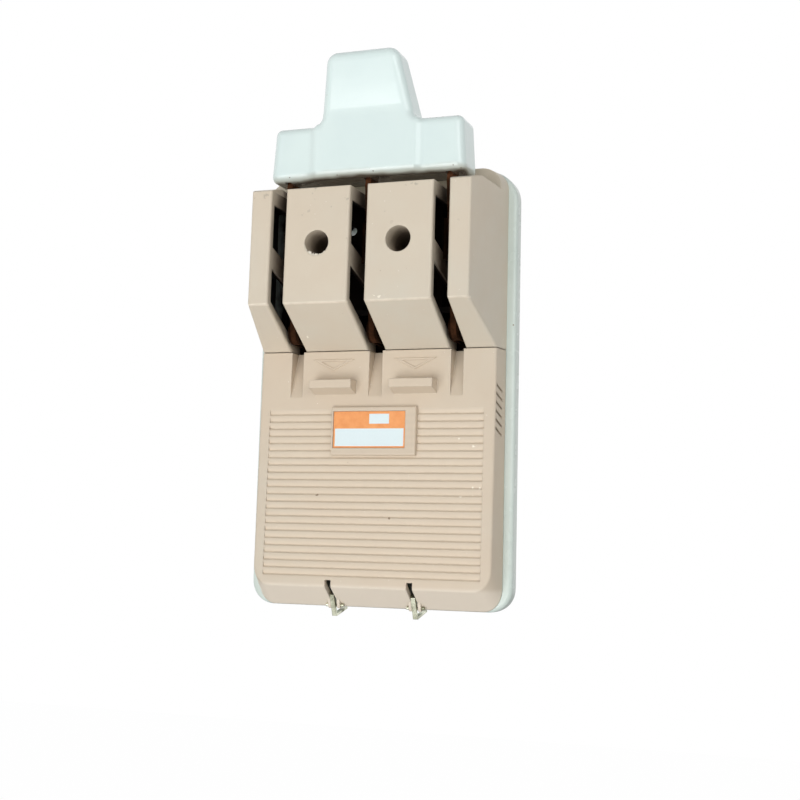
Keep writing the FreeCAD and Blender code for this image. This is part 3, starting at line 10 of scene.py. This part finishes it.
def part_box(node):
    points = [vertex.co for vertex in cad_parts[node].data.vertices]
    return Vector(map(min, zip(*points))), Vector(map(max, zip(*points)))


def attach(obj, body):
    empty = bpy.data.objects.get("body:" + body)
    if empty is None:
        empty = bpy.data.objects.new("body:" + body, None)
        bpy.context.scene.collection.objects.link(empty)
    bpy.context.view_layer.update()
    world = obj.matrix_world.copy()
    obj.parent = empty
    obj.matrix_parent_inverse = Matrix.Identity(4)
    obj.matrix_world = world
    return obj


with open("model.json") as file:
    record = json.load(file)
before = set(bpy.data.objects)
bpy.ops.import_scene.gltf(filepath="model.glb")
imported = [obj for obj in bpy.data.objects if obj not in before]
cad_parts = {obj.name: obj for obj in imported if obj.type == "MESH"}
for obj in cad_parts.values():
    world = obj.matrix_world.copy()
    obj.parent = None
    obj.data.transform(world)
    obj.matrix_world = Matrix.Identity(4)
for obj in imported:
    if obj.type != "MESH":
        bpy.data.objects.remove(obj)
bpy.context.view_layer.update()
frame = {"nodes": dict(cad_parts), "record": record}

scene = bpy.context.scene
MM = 0.001

# Places on the CAD parts that the grime, the painted shade and the small details keep to, in mm. The wall is
# at y = 0 and the switch stands out along -y; a "rise" is measured from the front face of the base.
BASE_FRONT = 18.0
POLE_PITCH = 46.4
# The upper cover: the front of its domes, its inner height and its leaning sides.
COVER_RISE = 45.0
COVER_LOW_Z, COVER_HIGH_Z = 20.1, 103.7
COVER_HALF, COVER_SIDE_LEAN = 69.0, 0.17
# The slope below the domes, and the crease where it meets their front.
SLOPE_FOOT_Z, SLOPE_FOOT_RISE, SLOPE_STEEP = 19.7, 11.8, 1.56
CREASE_Z, DOME_FRONT_Y = 40.9, -60.0
# From the middle of a pole to the wall of its slot, and the two screw wells.
SLOT_WALL = 5.4
WELL_X, WELL_Z, WELL_RADIUS, WELL_RISE = 23.2, 73.2, 7.0, 44.7
# The lid's front, which stands out more towards its lower edge, and the ribs on it.
LID_TOP_Z, LID_RISE, LID_LEAN = 19.5, 11.8, 0.0196
RIB_TOP_Z, RIB_LOW_Z, RIB_PITCH, RIB_HALF = -12.3, -105.0, 3.95, 61.9
# The part of the base's front that the covers hide, and the height behind the upper one that is painted in
# shade.
HIDDEN_HALF, HIDDEN_HALF_HIGH = 63.0, 110.0
SHADE_LOW_Z, SHADE_TOP_Z = 2.0, 106.0
# The handle's cross bar: its underside and its upper front edge.
BAR_LOW_Z, BAR_TOP_Z, BAR_EDGE_Y = 110.2, 139.9, -52.4

# Camera: where the photograph was taken from, in metres and degrees.
CAMERA_AT = (0.27294, -0.7225, -0.08625)
YAW, PITCH, ROLL = 20.514, 8.118, -1.534
LENS, SENSOR, SHIFT_Y = 62.24, 36, -0.0625


def camera_turn(yaw, pitch, roll):
    """The camera's right, up and backward axes as the columns of a rotation."""
    y, p, r = (math.radians(v) for v in (yaw, pitch, roll))
    ahead = Vector((-math.sin(y) * math.cos(p), math.cos(y) * math.cos(p), math.sin(p)))
    level = Vector((math.cos(y), math.sin(y), 0))
    below = ahead.cross(level)
    right = level * math.cos(r) + below * math.sin(r)
    down = below * math.cos(r) - level * math.sin(r)
    return Matrix((right, -down, -ahead)).transposed()


camera = bpy.data.objects.new("camera", bpy.data.cameras.new("camera"))
scene.collection.objects.link(camera)
camera.matrix_world = Matrix.Translation(CAMERA_AT) @ camera_turn(YAW, PITCH, ROLL).to_4x4()
camera.data.sensor_width = SENSOR
camera.data.lens = LENS
camera.data.shift_y = SHIFT_Y
camera.data.clip_start, camera.data.clip_end = 0.01, 50
scene.camera = camera
scene.view_settings.view_transform = "Standard"


def srgb(*rgb):
    """The linear colour of display values from 0 to 255."""
    return tuple(((v / 255 + 0.055) / 1.055) ** 2.4 if v > 10 else v / 255 / 12.92 for v in rgb)


def scaled(colour, factors, lift=0.0):
    """A colour times one factor, or one for each channel, plus an even lift."""
    if isinstance(factors, float):
        factors = (factors,) * 3
    return tuple(min(1.0, c * f + lift) for c, f in zip(colour, factors))


BEIGE = srgb(217, 204, 184)
LID_BEIGE = scaled(BEIGE, (0.95, 0.92, 0.90))
TORN_BEIGE = srgb(236, 226, 206)
# Pale edges, partly wear and partly painted highlight, and a painted highlight along the domes' crease.
RUBBED_AND_LIT, CREASE_HIGHLIGHT = srgb(244, 233, 216), srgb(243, 231, 213)
PALE_SPECK, BROWN_SPECK = srgb(240, 232, 224), srgb(150, 122, 102)
CHIP, DIRT = srgb(240, 232, 216), srgb(128, 106, 82)
# Painted shade in the slots: brown on their walls, near black in the hollows behind them.
WALL_SHADE, HOLLOW_SHADE = srgb(78, 58, 44), srgb(30, 20, 13)
# Painted shade on the hidden base front and on the metal behind the upper cover.
BASE_SHADE, METAL_SHADE = srgb(34, 22, 14), srgb(38, 24, 15)
FIRING_SPECK, GLAZE_CHIP = srgb(150, 140, 120), srgb(96, 84, 66)
# Brown towards the cross bar's lower edge, then painted shade on its underside.
LOW_EDGE_BROWN, UNDERSIDE_SHADE = srgb(150, 132, 104), srgb(66, 50, 34)
RUST_DOT, BAR_CHIP = srgb(92, 66, 44), srgb(108, 96, 78)
PAPER, PAPER_SHADE = srgb(226, 240, 242), srgb(218, 233, 236)
ORANGE, ORANGE_SHADE = srgb(234, 150, 82), srgb(243, 164, 98)


class Net:
    """A material under construction; every texture is placed by the object's own coordinates."""

    def __init__(self, name):
        self.mat = bpy.data.materials.new(name)
        self.mat.use_nodes = True
        self.tree = self.mat.node_tree
        self.tree.nodes.clear()
        self.out = self.node("ShaderNodeOutputMaterial")
        self.bsdf = self.node("ShaderNodeBsdfPrincipled")
        self.join(self.bsdf.outputs[0], self.out.inputs[0])
        self.place = self.node("ShaderNodeTexCoord").outputs["Object"]

    def node(self, kind, **values):
        made = self.tree.nodes.new(kind)
        for key, value in values.items():
            setattr(made, key, value)
        return made

    def join(self, a, b):
        self.tree.links.new(a, b)

    def feed(self, socket, value):
        """Links an output to the socket, or writes a plain value into it."""
        if hasattr(value, "is_linked"):
            self.join(value, socket)
        else:
            socket.default_value = value

    def math(self, op, a, b=0.0):
        made = self.node("ShaderNodeMath", operation=op)
        self.feed(made.inputs[0], a)
        self.feed(made.inputs[1], b)
        return made.outputs[0]

    def add(self, a, b):
        return self.math("ADD", a, b)

    def minus(self, a, b):
        return self.math("SUBTRACT", a, b)

    def times(self, value, *factors):
        for factor in factors:
            value = self.math("MULTIPLY", value, factor)
        return value

    def size(self, value):
        return self.math("ABSOLUTE", value)

    def below(self, value, limit):
        return self.math("LESS_THAN", value, limit)

    def above(self, value, limit):
        return self.math("GREATER_THAN", value, limit)

    def between(self, value, low, high):
        return self.times(self.above(value, low), self.below(value, high))

    def away(self, a, at_a, b, at_b):
        """Distance, in a plane, from the point at_a, at_b."""
        da, db = self.minus(a, at_a), self.minus(b, at_b)
        return self.math("SQRT", self.add(self.times(da, da), self.times(db, db)))

    def xyz(self):
        parts = self.node("ShaderNodeSeparateXYZ")
        self.join(self.place, parts.inputs[0])
        return parts.outputs

    def span(self, value, low, high, to_low=0.0, to_high=1.0):
        """Maps low..high onto to_low..to_high and holds the ends."""
        made = self.node("ShaderNodeMapRange")
        self.feed(made.inputs["Value"], value)
        for name, v in (("From Min", low), ("From Max", high), ("To Min", to_low), ("To Max", to_high)):
            self.feed(made.inputs[name], v)
        return made.outputs[0]

    def noise(self, scale, detail=3.0, rough=0.5, stretch=None, shift=0.0):
        place = self.place
        if stretch or shift:
            moved = self.node("ShaderNodeMapping")
            self.join(place, moved.inputs[0])
            moved.inputs["Scale"].default_value = stretch or (1, 1, 1)
            moved.inputs["Location"].default_value = (shift, shift * 0.7, -shift)
            place = moved.outputs[0]
        made = self.node("ShaderNodeTexNoise")
        self.join(place, made.inputs["Vector"])
        made.inputs["Scale"].default_value = scale
        made.inputs["Detail"].default_value = detail
        made.inputs["Roughness"].default_value = rough
        return made.outputs["Fac"]

    def uneven(self, scale, detail, reach):
        """Noise that swings from -reach to reach, in metres."""
        return self.span(self.noise(scale, detail), 0.3, 0.7, -reach, reach)

    def specks(self, scale, size, keep):
        """Small round specks in some of the cells only; a larger keep leaves fewer."""
        made = self.node("ShaderNodeTexVoronoi")
        self.join(self.place, made.inputs["Vector"])
        made.inputs["Scale"].default_value = scale
        dot = self.span(made.outputs["Distance"], size, size * 0.6)
        parts = self.node("ShaderNodeSeparateColor")
        self.join(made.outputs["Color"], parts.inputs[0])
        return self.times(dot, self.above(parts.outputs[0], keep))

    def mix(self, amount, a, b):
        made = self.node("ShaderNodeMix", data_type="RGBA")
        self.feed(made.inputs[0], amount)
        self.feed(made.inputs[6], a if hasattr(a, "is_linked") else (*a, 1))
        self.feed(made.inputs[7], b if hasattr(b, "is_linked") else (*b, 1))
        return made.outputs[2]

    def edges(self, radius):
        """A mask, 1 on sharp edges and 0 on flat faces, and the rounded normal."""
        soft = self.node("ShaderNodeBevel", samples=6)
        soft.inputs["Radius"].default_value = radius
        shape = self.node("ShaderNodeNewGeometry")
        dot = self.node("ShaderNodeVectorMath", operation="DOT_PRODUCT")
        self.join(soft.outputs[0], dot.inputs[0])
        self.join(shape.outputs["True Normal"], dot.inputs[1])
        flat, sharp = 0.992, 0.86
        return self.span(dot.outputs["Value"], flat, sharp), soft.outputs[0]

    def bump(self, layers, normal=None):
        """Chains bumps; each layer is (height, depth in metres, strength)."""
        for height, depth, strength in layers:
            made = self.node("ShaderNodeBump")
            made.inputs["Distance"].default_value = depth
            made.inputs["Strength"].default_value = strength
            self.join(height, made.inputs["Height"])
            if normal:
                self.join(normal, made.inputs["Normal"])
            normal = made.outputs[0]
        self.join(normal, self.bsdf.inputs["Normal"])

    def set(self, **values):
        """Fills sockets of the shader by name and returns the finished material."""
        for key, value in values.items():
            if isinstance(value, tuple):
                value = (*value, 1)
            self.feed(self.bsdf.inputs[key.replace("_", " ")], value)
        return self.mat


def slot_painted_shade(n, colour):
    """Painted shade in the upper cover: brown on the slots' walls with depth, near black in the hollows
    behind them.
    """
    x, y, z = n.xyz()
    rise = n.minus(-BASE_FRONT * MM, y)
    slope = n.add(SLOPE_FOOT_RISE * MM, n.times(n.minus(z, SLOPE_FOOT_Z * MM), SLOPE_STEEP))
    depth = n.minus(n.math("MINIMUM", COVER_RISE * MM, slope), rise)
    depth = n.add(depth, n.uneven(170, 3, 1.5 * MM))
    side = n.size(x)
    flank = n.add(side, n.times(rise, COVER_SIDE_LEAN))
    inside = n.times(n.below(flank, COVER_HALF * MM), n.between(z, COVER_LOW_Z * MM, COVER_HIGH_Z * MM))
    from_pole = n.math("MINIMUM", side, n.size(n.minus(side, POLE_PITCH * MM)))
    off_well = n.minus(1.0, n.below(n.away(side, WELL_X * MM, z, WELL_Z * MM), (WELL_RADIUS + 0.6) * MM))
    hollow = n.times(n.above(from_pole, SLOT_WALL * MM), off_well, inside, n.span(depth, 1.8 * MM, 3.0 * MM))
    walls = n.times(inside, n.span(depth, 2.0 * MM, 17.0 * MM))
    # Painted shade: the walls darken with depth and the hollows behind them go near black.
    colour = n.mix(n.times(walls, 0.86), colour, WALL_SHADE)
    return n.mix(n.times(hollow, 0.97), colour, HOLLOW_SHADE)


def rib_painted_light(n, colour, tint):
    """The lid's ribs: painted shade in bands at the rib pitch, painted highlight where the front is sunk, and
    a painted highlight on the bevel below them.
    """
    x, y, z = n.xyz()
    panel = n.times(n.below(n.size(x), RIB_HALF * MM), n.between(z, RIB_LOW_Z * MM, RIB_TOP_Z * MM))
    # Painted shade in bands at the rib pitch.
    wave = n.math("COSINE", n.times(n.minus(z, RIB_TOP_Z * MM), 2 * math.pi / (RIB_PITCH * MM)))
    colour = n.mix(n.times(panel, n.span(wave, -1, 1, 0.0, 0.5)), colour, scaled(tint, 0.92))
    leaning = n.times(n.minus(LID_TOP_Z * MM, z), LID_LEAN)
    # Painted highlight where the front is sunk.
    sunk = n.add(n.add(y, leaning), (BASE_FRONT + LID_RISE) * MM)
    colour = n.mix(n.times(panel, n.span(sunk, 0.1 * MM, 0.9 * MM)), colour, scaled(tint, 1.07))
    # Painted highlight on the bevel below the ribs.
    bevel = n.span(z, (RIB_LOW_Z - 1.2) * MM, (RIB_LOW_Z - 3.4) * MM, 0.0, 0.85)
    return n.mix(bevel, colour, scaled(tint, (1.14, 1.20, 1.29)))


def crease_highlight(n, colour):
    """A painted highlight along the line where the domes' front turns into the slope."""
    _, y, z = n.xyz()
    line = n.size(n.minus(z, n.add(CREASE_Z * MM, n.uneven(60, 2, 0.1 * MM))))
    line = n.times(n.span(line, 0.75 * MM, 0.3 * MM), n.below(y, DOME_FRONT_Y * MM))
    # Painted highlight along the crease.
    return n.mix(n.times(line, n.span(n.noise(130, 3), 0.35, 0.6, 0.25, 0.8)), colour, CREASE_HIGHLIGHT)


def spots(n, colour, marks):
    """Small chips and dabs on the fronts, each at its own place (x, z, radius in mm, colour)."""
    x, y, z = n.xyz()
    for at_x, at_z, reach, shade in marks:
        away = n.add(n.away(x, at_x * MM, z, at_z * MM), n.uneven(900, 3, 0.7 * MM))
        spot = n.times(n.span(away, reach * MM, reach * 0.7 * MM), n.below(y, -25 * MM))
        colour = n.mix(spot, colour, shade)
    return colour


def moulding(name, tint, shift, painted_shade=False, ribbed=False, creased=False, marks=()):
    """Satin phenolic moulding: blotchy colour, pale edges from wear and painted highlight, pale specks and a
    fine grain.
    """
    n = Net(name)
    worn, soft = n.edges(0.8 * MM)
    large = n.span(n.noise(11, 2, shift=shift), 0.35, 0.65)
    blotch = n.span(n.noise(60, 4, 0.6, shift=shift), 0.35, 0.7)
    # Edge wear and painted highlight on the edges.
    rub_and_highlight = n.times(worn, n.span(n.noise(240, 4, 0.7), 0.42, 0.62, 0.15, 0.8))
    colour = n.mix(large, tint, scaled(tint, (0.94, 0.985, 1.02)))
    colour = n.mix(n.times(blotch, 0.5), colour, scaled(tint, (0.95, 0.93, 0.92)))
    colour = n.mix(n.times(rub_and_highlight, 0.6), colour, RUBBED_AND_LIT)
    colour = n.mix(n.specks(330, 0.09, 0.86), colour, PALE_SPECK)
    colour = n.mix(n.specks(210, 0.06, 0.9), colour, BROWN_SPECK)
    if ribbed:
        colour = rib_painted_light(n, colour, tint)
    # Painted highlight along the crease.
    if creased:
        colour = crease_highlight(n, colour)
    colour = spots(n, colour, marks)
    # Painted shade in the slots of the upper cover.
    if painted_shade:
        colour = slot_painted_shade(n, colour)
    waves, grain = n.noise(95, 2), n.noise(2600, 3, 0.6)
    n.bump([(waves, 0.4 * MM, 0.22), (grain, 0.08 * MM, 0.35)], soft)
    matt = n.add(n.span(n.noise(160, 3), 0.3, 0.7, 0.40, 0.52), n.times(rub_and_highlight, 0.15))
    return n.set(Base_Color=colour, Roughness=matt, Specular_IOR_Level=0.42)


def base_painted_shade(n, colour):
    """Painted shade on what the covers hide: dark behind the blade slots, light behind the fuse cover.

    Like the cross bar's function it returns the colour and how matt the painted shade makes the glaze.
    """
    x, y, z = n.xyz()
    edge = n.uneven(90, 3, 1.5 * MM)
    across = n.span(n.add(n.size(x), edge), (HIDDEN_HALF + 3) * MM, HIDDEN_HALF * MM)
    upright = n.span(n.add(n.size(z), edge), (HIDDEN_HALF_HIGH + 4) * MM, HIDDEN_HALF_HIGH * MM)
    in_front = n.below(y, -8 * MM)
    # Painted shade, lighter low down behind the fuse cover and darker behind the upper cover.
    dark = n.span(n.add(z, n.times(edge, 4)), SHADE_LOW_Z * MM, (SHADE_LOW_Z + 20) * MM, 0.22, 1.0)
    shaded = n.times(across, upright, in_front, dark)
    return n.mix(shaded, colour, BASE_SHADE), shaded


def bar_dirt_and_shade(n, colour):
    """Browner towards the cross bar's lower edge, painted shade on its underside, and three groups of chips
    on its upper front edge.
    """
    x, y, z = n.xyz()
    low = n.add(z, n.uneven(50, 2, 0.8 * MM))
    # Browner towards the lower edge.
    colour = n.mix(n.span(low, (BAR_LOW_Z + 4.6) * MM, (BAR_LOW_Z + 0.7) * MM, 0.0, 0.55), colour, LOW_EDGE_BROWN)
    # Painted shade on the underside.
    colour = n.mix(n.span(low, (BAR_LOW_Z + 1.4) * MM, BAR_LOW_Z * MM, 0.0, 0.9), colour, UNDERSIDE_SHADE)
    dots = n.times(n.specks(520, 0.22, 0.86), n.below(z, (BAR_LOW_Z + 3.8) * MM))
    colour = n.mix(dots, colour, RUST_DOT)
    edge = n.times(n.above(z, BAR_TOP_Z * MM), n.below(n.add(y, n.uneven(400, 2, 1.2 * MM)), BAR_EDGE_Y * MM))
    broken = n.span(n.noise(700, 3, 0.6), 0.52, 0.58)
    for at in (36, 41.5, 51.5):
        near = n.below(n.size(n.minus(x, at * MM)), 2.2 * MM)
        colour = n.mix(n.times(near, edge, broken), colour, BAR_CHIP)
    return colour, 0.0


def glaze(name, tint, cool, rough, chipped, coat, dirt_and_shade):
    """Glazed porcelain: pooled glaze, pin holes, dark firing specks, and the grime and painted shade that a
    function adds.
    """
    n = Net(name)
    worn, soft = n.edges(0.9 * MM)
    colour = n.mix(n.span(n.noise(26, 3), 0.35, 0.68), tint, cool)
    colour = n.mix(n.times(worn, 0.35), colour, scaled(tint, 0.93))
    colour = n.mix(n.specks(190, 0.10, 0.93), colour, FIRING_SPECK)
    chips = n.times(n.span(worn, 0.35, 0.8), n.span(n.noise(330, 4, 0.7), 0.62, 0.68))
    colour = n.mix(n.times(chips, chipped), colour, GLAZE_CHIP)
    colour, shaded = dirt_and_shade(n, colour)
    n.bump([(n.noise(45, 2), 0.9 * MM, 0.16), (n.noise(420, 2), 0.08 * MM, 0.25)], soft)
    # The part with painted shade is also made matt.
    matt = n.math("MAXIMUM", n.span(n.noise(120, 3), 0.3, 0.7, rough, rough + 0.10), shaded)
    return n.set(Base_Color=colour, Roughness=matt, Coat_Weight=coat, Coat_Roughness=0.08,
                 Specular_IOR_Level=0.5)


def metal(name, tint, stain, rough, spread, brushed=(1, 1, 1), painted_shade=1.0):
    """Bare or plated metal: stains, fine scratches, worn edges, and painted shade behind the upper cover
    only.
    """
    n = Net(name)
    _, _, z = n.xyz()
    worn, soft = n.edges(0.3 * MM)
    cloud = n.span(n.noise(130, 5, 0.65), 0.38, 0.66)
    colour = n.mix(cloud, tint, stain)
    colour = n.mix(n.times(worn, 0.4), colour, scaled(tint, 1.25, 0.03))
    patchy = n.span(n.noise(90, 4, 0.6), 0.25, 0.6, 0.86, 0.98)
    # Painted shade on the metal behind the upper cover.
    rising = n.span(z, SHADE_LOW_Z * MM, (SHADE_LOW_Z + 14) * MM)
    ending = n.span(z, (SHADE_TOP_Z + 6) * MM, SHADE_TOP_Z * MM)
    shade_amount = n.times(rising, patchy, painted_shade, ending)
    colour = n.mix(shade_amount, colour, METAL_SHADE)
    scratches = n.noise(1500, 3, 0.6, stretch=brushed)
    n.bump([(scratches, 0.06 * MM, 0.5), (n.noise(300, 3), 0.1 * MM, 0.25)], soft)
    matt = n.add(n.span(cloud, 0, 1, rough, rough + spread), n.times(shade_amount, 0.45))
    return n.set(Base_Color=colour, Metallic=1.0, Roughness=matt)


def card_print(name, low, high):
    """The blank card: an orange head with a white window, a white field and a thin orange edge."""
    n = Net(name)
    x, _, z = n.xyz()
    wide, tall, margin = high.x - low.x, high.z - low.z, 0.9 * MM
    field = n.times(n.between(x, low.x + margin, high.x - margin),
                    n.between(z, low.z + margin, low.z + tall * 0.53))
    window = n.times(n.between(x, low.x + wide * 0.50, low.x + wide * 0.775),
                     n.between(z, low.z + tall * 0.66, low.z + tall * 0.93))
    paper = n.mix(n.noise(900, 4, 0.7), PAPER, PAPER_SHADE)
    ink = n.mix(n.span(n.noise(260, 4, 0.6), 0.35, 0.7), ORANGE, ORANGE_SHADE)
    n.bump([(n.noise(1800, 4, 0.6), 0.05 * MM, 0.4)])
    return n.set(Base_Color=n.mix(n.math("MAXIMUM", field, window), ink, paper), Roughness=0.42,
                 Coat_Weight=0.3, Coat_Roughness=0.2)


UPPER_MARKS = (
    (10.9, 43.6, 0.5, CHIP), (13.9, 42.6, 0.6, CHIP), (16.6, 43.3, 0.4, CHIP), (-36.5, 26.5, 0.5, CHIP))
LID_MARKS = (
    (48.4, -28.7, 0.5, CHIP), (56.6, -32.8, 0.5, CHIP), (50.0, -59.2, 0.4, CHIP),
    (56.5, -54.7, 0.7, CHIP), (60.3, -55.1, 0.5, CHIP), (56.5, -58.6, 0.5, CHIP),
    (10.7, -71.0, 0.4, DIRT), (-14.4, -41.4, 0.4, DIRT), (-31.6, -59.3, 0.4, DIRT))
blade = metal("blade_copper", srgb(156, 102, 70), srgb(98, 68, 50), 0.40, 0.2, (1, 1, 0.2), painted_shade=0.82)
NODE_MATERIALS = {
    "upper_cover": moulding("upper_moulding", BEIGE, 0.0, painted_shade=True, creased=True, marks=UPPER_MARKS),
    "fuse_cover": moulding("lid_moulding", LID_BEIGE, 3.1, ribbed=True, marks=LID_MARKS),
    "porcelain_base": glaze("base_porcelain", srgb(214, 224, 217), srgb(204, 216, 209),
                            rough=0.20, chipped=0.5, coat=0.0, dirt_and_shade=base_painted_shade),
    "handle": glaze("handle_glaze", srgb(226, 241, 238), srgb(221, 237, 235),
                    rough=0.16, chipped=1.0, coat=0.35, dirt_and_shade=bar_dirt_and_shade),
    "rating_card": card_print("card_print", *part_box("rating_card")),
    "blade_left": blade, "blade_centre": blade, "blade_right": blade,
}
SLOT_MATERIALS = {
    "copper": metal("dull_copper", srgb(150, 98, 68), srgb(92, 64, 46), 0.42, 0.2, (1, 0.2, 1)),
    "link": metal("tinned_link", srgb(176, 174, 166), srgb(140, 138, 130), 0.35, 0.15),
    "brass": metal("turned_brass", srgb(206, 170, 98), srgb(160, 124, 66), 0.25, 0.2),
    "plated": metal("passivated_zinc", srgb(228, 230, 208), srgb(128, 128, 104), 0.26, 0.2),
}
torn_moulding = moulding("flash_moulding", TORN_BEIGE, 5.2)
slots = {s["node"]: s["material_slot"] for s in frame["record"]["subparts"]}
for name, obj in frame["nodes"].items():
    obj.data.materials.clear()
    obj.data.materials.append(NODE_MATERIALS.get(name) or SLOT_MATERIALS[slots[name]])


def new_piece(name, bm, material):
    """Turns a finished bmesh into an object of the scene."""
    mesh = bpy.data.meshes.new(name)
    bm.to_mesh(mesh)
    bm.free()
    mesh.materials.append(material)
    obj = bpy.data.objects.new(name, mesh)
    scene.collection.objects.link(obj)
    return obj


def lid_front(z):
    """The y of the lid's leaning front at a height, in mm."""
    return -(BASE_FRONT + LID_RISE + (LID_TOP_Z - z) * LID_LEAN)


def arrow(name, middle, width, drop, top, line, proud):
    """A raised outline of a triangle that points down, on the lid's front over a finger ledge."""
    outline = ((middle - width / 2, top), (middle + width / 2, top), (middle, top - drop))
    corners = [Vector((x, 0, z)) for x, z in outline]
    centre = sum(corners, Vector()) / 3
    root, round_off = -0.3, 0.22
    profile = ((0.0, root), (0.0, proud * 0.6), (-round_off, proud),
               (round_off - line, proud), (-line, proud * 0.6), (-line, root))
    bm = bmesh.new()
    rings = []
    for grow, out in profile:
        ring = []
        for i, corner in enumerate(corners):
            before, after = corner - corners[i - 1], corners[(i + 1) % 3] - corner
            n1, n2 = (Vector((-way.z, 0, way.x)).normalized() for way in (before, after))
            for normal in (n1, n2):
                if normal.dot(corner - centre) < 0:
                    normal.negate()
            at = corner + (n1 + n2) / (1 + n1.dot(n2)) * grow
            ring.append(bm.verts.new((at.x * MM, (lid_front(at.z) - out) * MM, at.z * MM)))
        rings.append(ring)
    for r, s in zip(rings, rings[1:]):
        for i in range(3):
            bm.faces.new((r[i], r[(i + 1) % 3], s[(i + 1) % 3], s[i]))
    bmesh.ops.recalc_face_normals(bm, faces=bm.faces)
    obj = new_piece(name, bm, NODE_MATERIALS["fuse_cover"])
    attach(obj, "lid")


for side, middle in (("left", -24.6), ("right", 22.8)):
    arrow("arrow_" + side, middle, width=24.6, drop=6.2, top=14.9, line=1.2, proud=0.6)


def flash(name, x, z, radius, y):
    """Torn moulding flash round the mouth of a screw well, ragged along its lower rim."""
    count, torn_at = 96, math.radians(262)
    bm = bmesh.new()
    outer, inner = [], []
    for i in range(count):
        a = 2 * math.pi * i / count
        torn = noise.noise(Vector((math.cos(a) * 2.4, math.sin(a) * 2.4, 4.2)))
        fine = noise.noise(Vector((math.cos(a) * 9, math.sin(a) * 9, 9.1)))
        low = max(0.0, math.cos(a - torn_at)) ** 1.5
        reach = 0.05 + max(0.0, low * (0.9 + 1.5 * torn + 1.4 * fine)) + 0.12 * max(0.0, fine)
        for ring, distance, out in ((outer, radius + 0.2, 0.25), (inner, radius - reach, 0.3 + 0.35 * fine)):
            at_x, at_z = x + math.cos(a) * distance, z + math.sin(a) * distance
            ring.append(bm.verts.new((at_x * MM, (y + out) * MM, at_z * MM)))
    for i in range(count):
        j = (i + 1) % count
        bm.faces.new((outer[i], outer[j], inner[j], inner[i]))
    obj = new_piece(name, bm, torn_moulding)
    obj.modifiers.new("thick", "SOLIDIFY").thickness = 0.25 * MM
    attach(obj, "housing")


flash("well_flash", -WELL_X, WELL_Z, WELL_RADIUS, -(BASE_FRONT + WELL_RISE))


def floor_material():
    """A pale floor that looks evenly white from the camera and still takes a trace of shadow."""
    n = Net("pale_floor")
    n.set(Base_Color=(0.9, 0.9, 0.9), Roughness=0.9)
    rays = n.node("ShaderNodeLightPath")
    glow = n.node("ShaderNodeEmission")
    glow.inputs["Color"].default_value = (1, 1, 1, 1)
    glow.inputs["Strength"].default_value = 1.04
    mix = n.node("ShaderNodeMixShader")
    n.feed(mix.inputs[0], n.times(rays.outputs["Is Camera Ray"], 0.93))
    n.join(n.bsdf.outputs[0], mix.inputs[1])
    n.join(glow.outputs[0], mix.inputs[2])
    n.join(mix.outputs[0], n.out.inputs[0])
    return n.mat


FLOOR_HALF, FLOOR_Z = 6, -1
floor_mesh = bpy.data.meshes.new("floor")
floor_corners = [(x * FLOOR_HALF, y * FLOOR_HALF, FLOOR_Z) for x, y in ((-1, -1), (1, -1), (1, 1), (-1, 1))]
floor_mesh.from_pydata(floor_corners, [], [(0, 1, 2, 3)])
floor = bpy.data.objects.new("floor", floor_mesh)
scene.collection.objects.link(floor)
floor_mesh.materials.append(floor_material())


def studio():
    """A world that is white to the camera and in reflections, and lights more from below than from above."""
    world = bpy.data.worlds.new("studio")
    world.use_nodes = True
    tree = world.node_tree
    tree.nodes.clear()
    kinds = ("OutputWorld", "LightPath", "MixShader", "Background", "Background",
             "TexCoord", "SeparateXYZ", "MapRange")
    nodes = (tree.nodes.new("ShaderNode" + kind) for kind in kinds)
    out, rays, mix, ambient, white, way, split, level = nodes
    for name, v in (("From Min", -0.7), ("From Max", 0.7), ("To Min", 0.84), ("To Max", 0.34)):
        level.inputs[name].default_value = v
    tree.links.new(way.outputs["Generated"], split.inputs[0])
    tree.links.new(split.outputs[2], level.inputs["Value"])
    tree.links.new(level.outputs[0], ambient.inputs["Strength"])
    white.inputs["Strength"].default_value = 1.0
    seen = rays.outputs["Is Camera Ray"]
    for ray in ("Is Glossy Ray", "Is Transmission Ray"):
        larger = tree.nodes.new("ShaderNodeMath")
        larger.operation = "MAXIMUM"
        tree.links.new(seen, larger.inputs[0])
        tree.links.new(rays.outputs[ray], larger.inputs[1])
        seen = larger.outputs[0]
    for socket, output in zip(mix.inputs, (seen, ambient.outputs[0], white.outputs[0])):
        tree.links.new(output, socket)
    tree.links.new(mix.outputs[0], out.inputs[0])
    for shade in (ambient, white):
        shade.inputs["Color"].default_value = (1, 1, 1, 1)
    return world


scene.world = studio()


def lamp(name, at, to, size, watts, shine):
    data = bpy.data.lights.new(name, "AREA")
    data.shape = "RECTANGLE"
    data.size, data.size_y = size
    data.energy = watts
    data.specular_factor = shine
    obj = bpy.data.objects.new(name, data)
    scene.collection.objects.link(obj)
    obj.location = at
    obj.rotation_mode = "QUATERNION"
    obj.rotation_quaternion = (Vector(to) - Vector(at)).to_track_quat("-Z", "Y")


lamp("key", at=(-0.20, -1.30, -0.55), to=(0, 0, 0.04), size=(1.0, 0.8), watts=10.5, shine=0.35)
lamp("fill", at=(1.0, -1.0, 0.40), to=(0, 0, 0.05), size=(0.8, 0.8), watts=4, shine=0.5)
